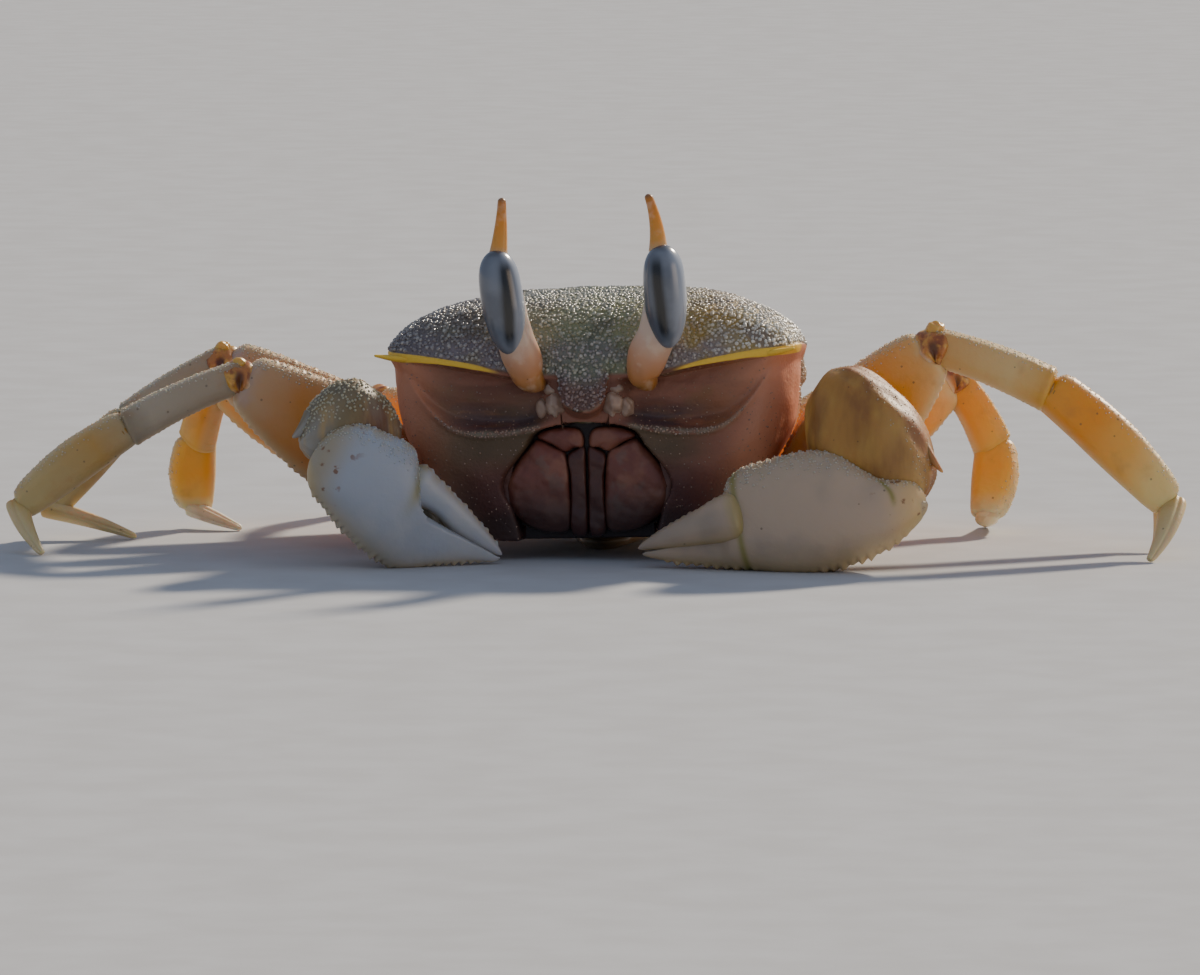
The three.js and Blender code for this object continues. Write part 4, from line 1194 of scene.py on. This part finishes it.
class CRAB_OT_shell(bpy.types.Operator):
    """Makes the carapace with its rostrum and corner spines, and the granules on it"""
    bl_idname = "crab.shell"
    bl_label = "Carapace"

    def execute(self, context):
        look = context.scene.crab_look
        shell, grid, marks = carapace()
        put("carapace_shell", shell, carapace_finish(look.lip_colour), "shell", "carapace")
        names = sorted(marks)
        columns = [grid, grid_normals(grid), shell_chart(grid)] + [marks[name][..., None] for name in names]
        spread = sprinkled(np.concatenate(columns, -1), SPRINKLED, SEED)
        spot, normals, chart = spread[:, :3], unit(spread[:, 3:6]), spread[:, 6:8]
        flat = dict(zip(names, spread[:, 8:].T))
        material = granule_finish()
        sizes = look.granule_pitch / MM, look.granule_radius / MM
        draw = np.random.default_rng(SEED)
        back, radii, pale = back_granules(spot, flat, *sizes, draw)
        ahead = spot[back, 1] < BACK_MIDDLE_Y
        for half, kept in (("front", ahead), ("rear", ~ahead)):
            rows = back[kept]
            crop = beads(spot[rows], normals[rows], radii[kept], roots=chart[rows], pale=pale[kept],
                         hem=flat["hem"][rows], tongue=flat["tongue"][rows])
            put(f"carapace_granules_{half}", body_surface(crop), material, "shell")
        rows, radii, pale, face = fine_granules(spot, flat, *sizes, draw)
        fine = beads(spot[rows], normals[rows], radii, roots=chart[rows], pale=pale, face=face)
        put("carapace_fine_granules", body_surface(fine), material, "shell")
        return {"FINISHED"}


EYES = {
    "left": dict(middle=(8.35, -20.2, 26.7), lean=(-0.037, -0.05, 1), crown=(7.6, -19.9, 31.8),
                 tip=(6.75, -19.3, 36.9), bow=0.3, tall=5.2, stripe=(-0.06, -0.31),
                 stalk=[[0, 5.9, -17.8, 17.4, 0.9, 0.9], [0.08, 5.95, -18.0, 17.9, 1.15, 1.05],
                        [0.2, 5.8, -18.3, 18.9, 1.65, 1.4], [0.36, 6.3, -18.7, 20.7, 2.0, 1.7],
                        [0.5, 7.3, -19.2, 23.0, 1.9, 1.6]]),
    "right": dict(middle=(-7.95, -20.2, 26.4), lean=(-0.117, -0.05, 1), crown=(-8.3, -19.9, 31.5),
                  tip=(-7.85, -19.3, 36.8), bow=-0.1, tall=5.3, stripe=(0.15, 0.56),
                  stalk=[[0, -5.1, -17.8, 17.4, 0.9, 0.9], [0.08, -5.2, -18.0, 17.9, 1.15, 1.05],
                         [0.2, -5.8, -18.3, 18.9, 1.6, 1.4], [0.36, -6.3, -18.7, 20.7, 1.95, 1.7],
                         [0.5, -7.0, -19.2, 23.0, 1.85, 1.6]]),
}
CORNEA_RADIUS = 2.15
CORNEA_RINGS = 72
CORNEA_SIDES = 64
HORN = [[0, 1.0, 1.0, 1.0], [0.12, 0.9, 0.9, 0.9], [0.25, 0.8, 0.8, 0.8],
        [0.75, 0.5, 0.5, 0.5], [0.94, 0.42, 0.42, 0.42], [1, 0.34, 0.34, 0.34]]
HORN_ROOT = 0.14            # how far the horn reaches down into the stalk, over its length


def cornea(eye):
    """An upright spheroid along the stalk, with a dark band that leans as `stripe` says (foot, crown).

    Its radius is (1 - |height|**p)**0.5, with p rising from 2 at the foot to 3.4 at the blunt crown.
    """
    middle = np.array(eye["middle"])
    axis = unit(np.array(eye["lean"], float))
    side = unit(np.cross([0, 1.0, 0], axis))
    lift = np.cross(axis, side)
    latitude = np.linspace(BOTTOM, TOP, CORNEA_RINGS + 2)[1:-1, None]
    turn = np.arange(CORNEA_SIDES) / CORNEA_SIDES * TAU
    height = np.sin(latitude)
    bluntness = 2.0 + 1.4 * ramp(-0.3, 0.7, height)
    radius = CORNEA_RADIUS * np.sqrt(1 - np.abs(height) ** bluntness)
    up = eye["tall"] * height
    grid = (middle + up[..., None] * axis + (radius * np.cos(turn))[..., None] * side
            + (radius * np.sin(turn))[..., None] * lift)
    across = np.cos(turn)
    front = ramp(0.0, -0.3, np.sin(turn))
    foot, crown = eye["stripe"]
    stripe = np.minimum(1.4 * bell(across, lerp(foot, crown, (height + 1) / 2), 0.27), 1)
    stripe = stripe * front * ramp(-0.88, -0.6, height) * ramp(0.9, 0.6, height)
    ends = [middle - eye["tall"] * axis, middle + eye["tall"] * axis]
    # One side of the cornea is marked for painted light and the other for painted shade.
    return tube(grid, *ends, stripe=stripe, bright=ramp(0.3, 0.95, across), shade=ramp(-0.1, -0.9, across),
                pole=ramp(0.86, 0.99, height))


def stalk_relief(t, turn):
    """Faint wrinkles, wound round the stalk."""
    return 0.04 * np.sin(7 * turn + 9 * t) * np.sin(21 * t)


def eyestalk(eye):
    """The stalk, widening to the eye, and its sheath up the inner side of the cornea to the horn."""
    inward = -math.copysign(1, eye["middle"][0])
    middle, crown = np.array(eye["middle"]), np.array(eye["crown"])
    hug = np.array([inward * 0.45, 0.7, 0])
    rows = eye["stalk"] + [
        [0.68, *(middle + hug), 1.65, 1.6],
        [0.84, *(lerp(middle, crown, 0.5) + hug), 1.3, 1.3],
        [1, *(crown + hug * 0.2 + [0, 0, -0.4]), 0.6, 0.6],
    ]
    return swept(rows, (0, 1, 0), stalk_relief, rings=90, sides=48, cap=0.03)


class CRAB_OT_eyes(bpy.types.Operator):
    """Makes the eyestalks, the corneas and the horns"""
    bl_idname = "crab.eyes"
    bl_label = "Eyes"

    def execute(self, context):
        # The first two stops paint the foot of the stalk dark: painted shade where it goes down into the
        # orbit.
        stalk = soft_finish("eyestalk_skin_smooth",
                            [(0, "#7a4a26"), (0.09, "#a8702e"), (0.2, "#c88850"), (0.36, "#d09a74"),
                             (0.5, "#d8bca4"), (1, "#d6cfc6")])
        horn = soft_finish("horn_shell_translucent",
                           [(0, "#d9b088"), (0.2, "#d99a3c"), (0.6, "#d98f1a"), (0.9, "#b87818"),
                            (1, "#6e5a3c")])
        glass = cornea_finish(context.scene.crab_look.stripe_colour)
        for name, eye in EYES.items():
            put(f"eyestalk_{name}_skin", body_surface(eyestalk(eye)), stalk, "stalk", f"eyestalk_{name}")
            put(f"eye_{name}_cornea", body_surface(cornea(eye)), glass, "cornea", f"eye_{name}")
            outward = (math.copysign(1, eye["middle"][0]), 0, 0)
            root = lerp(np.array(eye["crown"]), np.array(eye["tip"]), -HORN_ROOT)
            point = limb(root, eye["tip"], outward, HORN, bow=eye["bow"], rings=60, sides=32, cap=0.06)
            put(f"horn_{name}_shell", body_surface(point), horn, "horn", f"horn_{name}")
        return {"FINISHED"}


PLATE_RINGS = 26
PLATE_SIDES = 96


def plate(outline, back, rise, swell, mirror, deep=0.0):
    """A low pillow in front of the plane y = back, inside a smooth closed curve.

    The curve runs through the outline's (x, z) points, anticlockwise as the crab is faced. Copies of it
    shrunk by s towards the middle stand rise * (1 - s**9)**0.5 + swell * (1 - s*s) in front of the plane.
    """
    points = np.array(outline, float)
    if mirror < 0:
        points = points[::-1] * [-1, 1]
    count = len(points)
    rows = [[k / count, *points[k % count]] for k in range(-1, count + 2)]
    x, z = along(rows, np.arange(PLATE_SIDES) / PLATE_SIDES)
    middle = np.array([x.mean(), z.mean()])
    around = np.stack([x, z], -1) - middle
    size = np.concatenate([[0.5, 0.9, 0.99], 1 - np.linspace(0, 1, PLATE_RINGS)[:-1] ** 1.9])[:, None]
    front = rise * np.sqrt(1 - size ** 9) + swell * (1 - size ** 2)
    front[:3] = 0               # the first three rings are the flat back
    grid = np.zeros((len(size), PLATE_SIDES, 3))
    grid[..., 0] = middle[0] + size * around[:, 0] + FACE_SHIFT
    grid[..., 2] = middle[1] + size * around[:, 1]
    grid[..., 1] = back - front
    uneven = 0.07 * waves(grid, 3.0, SEED + 3) + 0.03 * waves(grid, 1.1, SEED + 4)
    grid[..., 1] -= uneven * ramp(0.99, 0.9, size) * (front > 0)
    centre = [middle[0] + FACE_SHIFT, back, middle[1]]
    peak = [centre[0], back - rise - swell, centre[2]]
    # A plate's rim is marked so that it can be painted dark: painted shade of the groove round it.
    return tube(grid, centre, peak, edge=ramp(0.9, 1.0, size), deep=deep)


# Outlines of one side of the mouth, (distance from the middle, height), anticlockwise.
OUTER_PLATE = [(1.75, 3.4), (4.2, 2.9), (6.6, 3.9), (8.0, 5.6), (8.15, 8.0), (7.2, 9.9), (5.9, 11.5),
               (4.9, 12.35), (3.3, 11.65), (2.1, 10.9), (1.7, 8.2)]
INNER_PLATE = [(0.08, 2.9), (1.7, 2.9), (1.72, 6.0), (1.72, 8.6), (1.95, 10.6), (1.1, 11.35),
               (0.15, 11.45), (0.07, 8.0)]
TOP_PLATE = [(0.3, 11.5), (1.2, 11.4), (2.2, 11.0), (3.5, 11.75), (5.0, 12.5), (4.4, 13.15), (2.7, 13.55),
             (0.9, 13.4), (0.25, 12.6)]
SIDE_PLATE = [(7.2, 4.0), (8.5, 5.4), (8.9, 7.8), (8.2, 9.6), (7.0, 11.0), (8.15, 8.6), (8.1, 6.2)]
# The lobes of a folded feeler, as a blob's arguments: centre, radii, lumps, lump length and seed.
FEELER_LOBES = [((2.85, -17.9, 15.9), (0.98, 0.9, 1.25), 0.1, 1.0, 3),
                ((4.2, -17.3, 15.5), (0.75, 0.7, 1.0), 0.1, 1.0, 5),
                ((3.2, -17.5, 17.4), (0.8, 0.8, 0.7), 0.14, 0.9, 7)]


class CRAB_OT_mouth(bpy.types.Operator):
    """Makes the outer mouthparts, the epistome and the folded feelers beside the rostrum"""
    bl_idname = "crab.mouth"
    bl_label = "Mouth"

    def execute(self, context):
        brick = mouthpart_finish()
        for name, side in (("left", 1), ("right", -1)):
            parts = [
                plate(OUTER_PLATE, -16.3, 0.95, 0.4, side),
                # The inner and side plates are painted darker: painted shade where they sit deeper in the
                # mouth.
                plate(INNER_PLATE, -16.3, 0.85, 0.15, side, deep=1.0),
                plate(TOP_PLATE, -16.3, 0.75, 0.3, side),
                plate(SIDE_PLATE, -16.2, 0.75, 0.15, side, deep=0.6),
            ]
            put(f"maxilliped_{name}_plates", body_surface(join(parts)), brick, "mouthpart",
                f"maxilliped_{name}")
        pink = soft_finish("feeler_skin_smooth", [(0, "#a08470"), (0.5, "#bc9c8a"), (1, "#8c7060")], glow=0.1)
        lobes = []
        for side in (-1, 1):
            for (out, y, z), *shape in FEELER_LOBES:
                lobes.append(blob((FACE_SHIFT + side * out, y, z), *shape))
        bar = blob((FACE_SHIFT, -17.1, 14.35), (2.3, 0.7, 0.45), 0.05, 1.5, 9, sides=48)
        put("antennules", body_surface(join(lobes)), pink, "mouthpart")
        olive = soft_finish("epistome_shell", [(0, "#5f5a3a"), (1, "#77714c")], glow=0.0)
        put("epistome", body_surface(bar), olive, "shell")
        return {"FINISHED"}


# How thick the granules stand on each wrist, and their radius:
WRIST_STUDS = {"claw_left": (0.22, 0.09), "claw_right": (0.85, 0.18)}


def left_hinge(t, turn):
    """Lines on the left hand: one where the finger is hinged, one curved round the wrist end."""
    curved = bell(t, 0.13 - 0.03 * np.cos(2 * turn), 0.009)
    return bell(t, 0.64, 0.012) + curved * (ramp(-0.2, 0.1, np.sin(turn)) * ramp(0.95, 0.7, np.sin(turn)))


def right_hinge(t, turn):
    """The line on the right hand where the finger is hinged, on its upper side."""
    return 0.75 * bell(t, 0.475, 0.03) * ramp(-0.3, 0.4, np.sin(turn))


def finger_root(t, turn):
    """The root of a moving finger, all round."""
    return 0.7 * ramp(0.15, 0.02, t) + 0 * turn


HINGE_LINES = {"claw_left": left_hinge, "claw_right": right_hinge}
# The dark sheet behind the slit of the right claw, painted shade of the gap, as a limb's profile:
GAPE = [[0, 0.6, 0.6, 0.5], [0.3, 1.6, 1.6, 0.7], [0.7, 1.1, 1.1, 0.6], [1, 0.3, 0.3, 0.3]]


class CRAB_OT_claws(bpy.types.Operator):
    """Makes both claws: arm, domed wrist with its spine, hand and moving finger"""
    bl_idname = "crab.claws"
    bl_label = "Claws"

    def execute(self, context):
        arm_orange = orange_leg_finish("claw_arm_shell", [(0, "#a5501e"), (0.5, "#b8691e"), (1, "#b8782c")],
                                       "#b88a4a", "#8a4c1e")
        # Both hands are pale shell. The right hand is tinted blue-grey as painted shade under blue sky light.
        hands = {"claw_left": claw_finish("claw_hand_cream", "#c0a88e", "#a89682", "#d8b47e"),
                 "claw_right": claw_finish("claw_hand_white", "#b4b6b8", "#a3abb6", "#a89c84")}
        domes = {
            # The left wrist's own amber, painted brighter and yellower as painted glow of light shining
            # through it from behind.
            "claw_left": dome_finish(
                "claw_wrist_amber", 17, 33,
                [(0, "#e08a34"), (0.14, "#dca650"), (0.24, "#c08a3e"), (0.55, "#b08038"), (1, "#cca868")],
                "#9a6238", "#85552a", 0.45),
            "claw_right": dome_finish(
                "claw_wrist_grey", -32, -20,
                [(0, "#a39f98"), (0.3, "#8f897c"), (0.42, "#7d6e4c"), (0.62, "#74603c"), (0.72, "#5e3420"),
                 (1, "#6e3a20")], "#77684a", "#857c6a", 0.2),
        }
        for name, pieces in CLAWS.items():
            seed = SEED + len(name)
            arm = limb(*pieces["merus"], scale=pieces["girth"], rings=70, sides=48, relief=arm_relief,
                       seed=seed)
            put(f"{name}_arm", arm, arm_orange, "leg", f"{name}_merus")
            wrist = limb(*pieces["carpus"], rings=110, sides=84, cap=0.1, relief=wrist_relief, seed=seed)
            density, radius = WRIST_STUDS[name]
            wrist = studded(wrist, density * wrist.upper, 0.5, radius, seed)
            thorn = limb(*pieces["spine"], rings=24, sides=20)
            put(f"{name}_wrist", join([wrist, thorn]), domes[name], "leg", f"{name}_carpus")
            hand = limb(*pieces["palm"], rings=230, sides=72, cap=0.03, relief=hand_relief, seed=seed,
                        wrist=1.0, hinge=HINGE_LINES[name])
            hand = studded(hand, 0.85 * hand.upper, 0.45, 0.15, seed + 1)
            for ends in pieces["spurs"]:
                spur = limb(*ends, rings=40, sides=32, wrist=1.0)
                spur.marks["along"] *= 0.1
                hand = join([hand, spur])
            put(f"{name}_hand", above_floor(hand), hands[name], "claw", f"{name}_palm")
            finger = limb(*pieces["finger"], rings=120, sides=48, cap=0.06, relief=finger_relief, seed=seed,
                          hinge=finger_root)
            put(f"{name}_moving_finger", above_floor(finger), hands[name], "claw", f"{name}_finger")
        # A dark olive sheet fills the slit between the right hand's fingers: painted shade of the gap.
        gape = limb((-20.0, -21.6, 6.6), (-13.6, -19.7, 1.4), (0.6, 0.1, 0.78), GAPE)
        olive = soft_finish("claw_gap_painted_shade", [(0, "#4a4020"), (1, "#5c5028")], glow=0.0)
        put("claw_right_gap_shade_sheet", gape, olive, "claw")
        return {"FINISHED"}


# The legs' own orange, made more saturated as painted glow of light shining through the thin shell.
LEG_STOPS = {
    "base": [(0, "#b8703a"), (1, "#cf8a4c")],
    "merus": [(0, "#c8642a"), (0.35, "#f69a24"), (0.76, "#f4a434"), (0.92, "#ecb468"), (1, "#e6cc98")],
    "carpus": [(0, "#b87a2a"), (0.12, "#dcae68"), (0.7, "#e2c486"), (1, "#dca030")],
    "propodus": [(0, "#e8a030"), (0.3, "#f09a1c"), (0.6, "#f0b24c"), (0.85, "#ecce82"), (1, "#e6d290")],
    "dactyl": [(0, "#caa04a"), (0.3, "#d8c288"), (1, "#d8cc9c")],
}
# Copies of the leg colours for the crab's right front legs, greyed as painted shade.
PAINTED_SHADE_LEG_STOPS = {
    "merus": [(0, "#b85c34"), (0.35, "#d07c30"), (0.7, "#d28c40"), (0.92, "#caa074"), (1, "#bda393")],
    "carpus": [(0, "#a07244"), (0.12, "#b09c80"), (0.8, "#b5a68e"), (1, "#96876e")],
    "propodus": [(0, "#b3a07a"), (0.3, "#c49a50"), (0.55, "#c2a468"), (1, "#cdb87e")],
}
# Copies for the third legs, made brighter and yellower as painted glow of light shining through them from
# behind.
PAINTED_GLOW_LEG_STOPS = {
    "carpus": [(0, "#e09428"), (0.5, "#f0a42c"), (1, "#f0bc54")],
    "propodus": [(0, "#f4ba48"), (0.45, "#fab634"), (0.75, "#f8c658"), (0.92, "#f0dca0"), (1, "#f0e0b0")],
    "dactyl": [(0, "#f0e0b4"), (0.3, "#f6ecd0"), (1, "#f6f0dc")],
}
# The granules of a segment: their distance, their radius and how thick they stand.
STUDS = {"merus": (0.42, 0.12, 0.9), "carpus": (0.5, 0.12, 0.7), "propodus": (0.6, 0.11, 0.6)}
# Skin at each joint: its number, how far it reaches into the segments, its radius, and its front dent.
JOINTS = ((1, 1.5, 1.4, 0.0), (2, 1.5, 2.2, 0.4), (3, 0.6, 1.4, 0.0), (4, 0.4, 0.8, 0.0))
KNEE = 2
# The knob that stands on the front knees: its radius and how far it lies above the joint.
KNOBS = {"leg_left_1": (0.95, 1.9), "leg_left_2": (0.7, 1.6),
         "leg_right_1": (0.7, 1.45), "leg_right_2": (0.8, 1.5)}
# The legs that aren't plain orange, and the start of their finishes' names: painted shade on the crab's right
# front legs and painted glow on the third legs.
LEG_TINTS = {"leg_right_1": "grey_", "leg_right_2": "grey_", "leg_left_3": "vivid_", "leg_right_3": "vivid_"}


class CRAB_OT_legs(bpy.types.Operator):
    """Makes the eight walking legs, each of five segments with soft skin between them"""
    bl_idname = "crab.legs"
    bl_label = "Walking Legs"

    def execute(self, context):
        finishes = {}
        for group, table in (("", LEG_STOPS), ("grey_", PAINTED_SHADE_LEG_STOPS), ("vivid_", PAINTED_GLOW_LEG_STOPS)):
            for part, stops in table.items():
                name = f"leg_{group}{part}_shell"
                finishes[group + part] = orange_leg_finish(name, stops, "#dcc394", "#b87a3a")
        brown = knee_finish()
        amber = soft_finish("joint_skin_amber", [(0, "#c08a34"), (0.5, "#a87426"), (1, "#cf9e3c")], glow=0.25)
        for number, (name, (scale, girth, joints)) in enumerate(LEGS.items()):
            seed = SEED + 10 * number
            for part, options in leg_segments(scale, girth, joints).items():
                segment = limb(**options, rings=180 if part == "merus" else 120, sides=48,
                               relief=RELIEFS.get(part), seed=seed)
                if part in STUDS:
                    pitch, radius, density = STUDS[part]
                    segment = studded(segment, density * segment.upper, pitch, radius, seed)
                slot = "leg_tip" if part in ("carpus", "dactyl") else "leg"
                finish = finishes.get(LEG_TINTS.get(name, "") + part, finishes[part])
                put(f"{name}_{part}_shell", above_floor(segment), finish, slot, f"{name}_{part}")
            for joint, reach, radius, dent in JOINTS:
                sleeve = cuff(*joints[joint - 1:joint + 2], reach * scale, radius * scale * girth, dent,
                              SEED + number)
                sleeve = above_floor(sleeve)
                if joint == KNEE and name in KNOBS:
                    size, lift = KNOBS[name]
                    knob = blob(np.array(joints[KNEE]) + [0, -0.3, lift], size * np.array([1.0, 0.9, 0.8]),
                                0.1, 0.8, number)
                    knob.marks["knob"] = np.ones(len(knob.points))
                    sleeve = join([sleeve, knob])
                put(f"{name}_joint_{joint}_skin", sleeve, brown if joint <= KNEE else amber, "leg")
        return {"FINISHED"}


# The breastplate's profile, its thickness above and below and half its width.
STERNUM = [[0, 1.3, 1.3, 3.5], [0.1, 2.0, 2.0, 6.4], [0.3, 2.2, 2.2, 9.0], [0.6, 2.2, 2.2, 9.4],
           [0.85, 2.1, 2.1, 7.6], [1, 1.4, 1.4, 3.6]]
# The abdomen's rows: [share, x, y, z, half its width, half its thickness], from the shell forward.
ABDOMEN = [[0, 0, 16.2, 10.4, 4.4, 0.3], [0.1, 0, 17.0, 8.8, 6.2, 0.6], [0.22, 0, 16.6, 6.4, 6.8, 0.75],
           [0.38, 0, 14.4, 3.0, 6.2, 0.75], [0.55, 0, 9.6, 1.05, 4.8, 0.75], [0.8, 0, 0.0, 0.95, 3.2, 0.7],
           [1, 0, -7.8, 1.0, 1.4, 0.5]]


def breast_relief(t, turn, _seed):
    """Below: five bulges with a groove between each two. One more groove runs down the middle."""
    bulges = 0.4 * np.abs(np.sin(5 * math.pi * t)) ** 0.5 * ramp(0, -0.5, np.sin(turn))
    return bulges + ridge(turn, BOTTOM, -0.4, 0.08)


def breastplate():
    """A shield-shaped plate, with a groove between each two legs and one down the middle."""
    return limb((0, 10.2, 4.0), (0, -11.0, 4.0), (0, 0, 1), STERNUM, rings=150, sides=96, cap=0.08,
                relief=breast_relief)


def tail_relief(t, turn):
    """Nine bulging bands."""
    return 0.4 * np.abs(np.sin(9 * math.pi * t)) ** 0.6 + 0 * turn


def tail():
    """The folded abdomen: a banded strap swept down behind the shell and forward below it."""
    return swept(ABDOMEN, (0, 1, -1), tail_relief, rings=200, sides=72, cap=0.06)


class CRAB_OT_belly(bpy.types.Operator):
    """Makes the breastplate and the folded abdomen"""
    bl_idname = "crab.belly"
    bl_label = "Belly"

    def execute(self, context):
        material = belly_finish()
        put("breastplate", body_surface(breastplate()), material, "belly", "sternum")
        put("folded_abdomen", above_floor(body_surface(tail())), material, "belly", "abdomen")
        return {"FINISHED"}


KEY_PLACE = (0.52, 0.72, 0.55)
BOUNCE_PLACE = (0.85, -0.42, 0.16)
BOUNCE_SIZE = 0.5
CAMERA_RISE = math.radians(5.5)
CAMERA_TARGET = np.array([-1.0, -18.0, 7.53]) * MM      # the camera stands a metre from it
CAMERA_LENS = 300.0


def stand(context, name, data, location, target):
    """Puts a light or a camera in the scene, turned upright so that it looks at the target."""
    holder = bpy.data.objects.new(name, data)
    context.scene.collection.objects.link(holder)
    holder.location = location
    direction = Vector(target) - holder.location
    holder.rotation_euler = direction.to_track_quat("-Z", "Y").to_euler()
    return holder


class CRAB_OT_stage(bpy.types.Operator):
    """Sets up the floor, the lights and the camera"""
    bl_idname = "crab.stage"
    bl_label = "Stage"

    def execute(self, context):
        look = context.scene.crab_look
        size = look.floor_size
        mesh = bpy.data.meshes.new("floor")
        mesh.from_pydata([(-size, -size, 0), (size, -size, 0), (size, size, 0), (-size, size, 0)], [],
                         [(0, 1, 2, 3)])
        mesh.materials.append(plain_floor_finish(look.floor_colour))
        floor = bpy.data.objects.new("floor", mesh)
        context.scene.collection.objects.link(floor)
        world = bpy.data.worlds.new("studio")
        world.use_nodes = True
        background = world.node_tree.nodes["Background"]
        background.inputs["Color"].default_value = rgba("#c3d2ee")
        background.inputs["Strength"].default_value = look.fill_level
        context.scene.world = world
        key = bpy.data.lights.new("key", "SUN")
        key.angle = look.key_softness
        key.energy = look.key_strength
        key.color = linear("#fff0da")
        stand(context, "key", key, KEY_PLACE, (0, 0, 0))
        bounce = bpy.data.lights.new("bounce", "AREA")
        bounce.size = BOUNCE_SIZE
        bounce.energy = look.bounce_power
        bounce.color = linear("#ffe2c0")
        stand(context, "bounce", bounce, BOUNCE_PLACE, (0, 0, 0))
        camera = bpy.data.cameras.new("camera")
        camera.sensor_width = 36.0
        camera.lens = CAMERA_LENS
        camera.clip_end = 100.0
        place = CAMERA_TARGET + [0, -math.cos(CAMERA_RISE), math.sin(CAMERA_RISE)]
        context.scene.camera = stand(context, "camera", camera, place, CAMERA_TARGET)
        return {"FINISHED"}


class CRAB_PT_panel(bpy.types.Panel):
    """Lists the pieces and their settings"""
    bl_idname = "CRAB_PT_panel"
    bl_label = "Ghost Crab"
    bl_space_type = "VIEW_3D"
    bl_region_type = "UI"
    bl_category = "Ghost Crab"

    def draw(self, context):
        look = context.scene.crab_look
        for name in CrabLook.__annotations__:
            self.layout.prop(look, name)
        for operator in OPERATORS:
            self.layout.operator(operator.bl_idname)


OPERATORS = (CRAB_OT_shell, CRAB_OT_eyes, CRAB_OT_mouth, CRAB_OT_claws, CRAB_OT_legs, CRAB_OT_belly,
             CRAB_OT_stage)


def register():
    """Registers the settings, the operators and the panel."""
    for made in (CrabLook, *OPERATORS, CRAB_PT_panel):
        bpy.utils.register_class(made)
    bpy.types.Scene.crab_look = bpy.props.PointerProperty(type=CrabLook)


def unregister():
    """Removes them again, last first."""
    del bpy.types.Scene.crab_look
    for made in reversed((CrabLook, *OPERATORS, CRAB_PT_panel)):
        bpy.utils.unregister_class(made)


def main():
    """Builds every piece."""
    register()
    for operator in OPERATORS:
        group, name = operator.bl_idname.split(".")
        getattr(getattr(bpy.ops, group), name)()


if __name__ == "__main__":
    main()
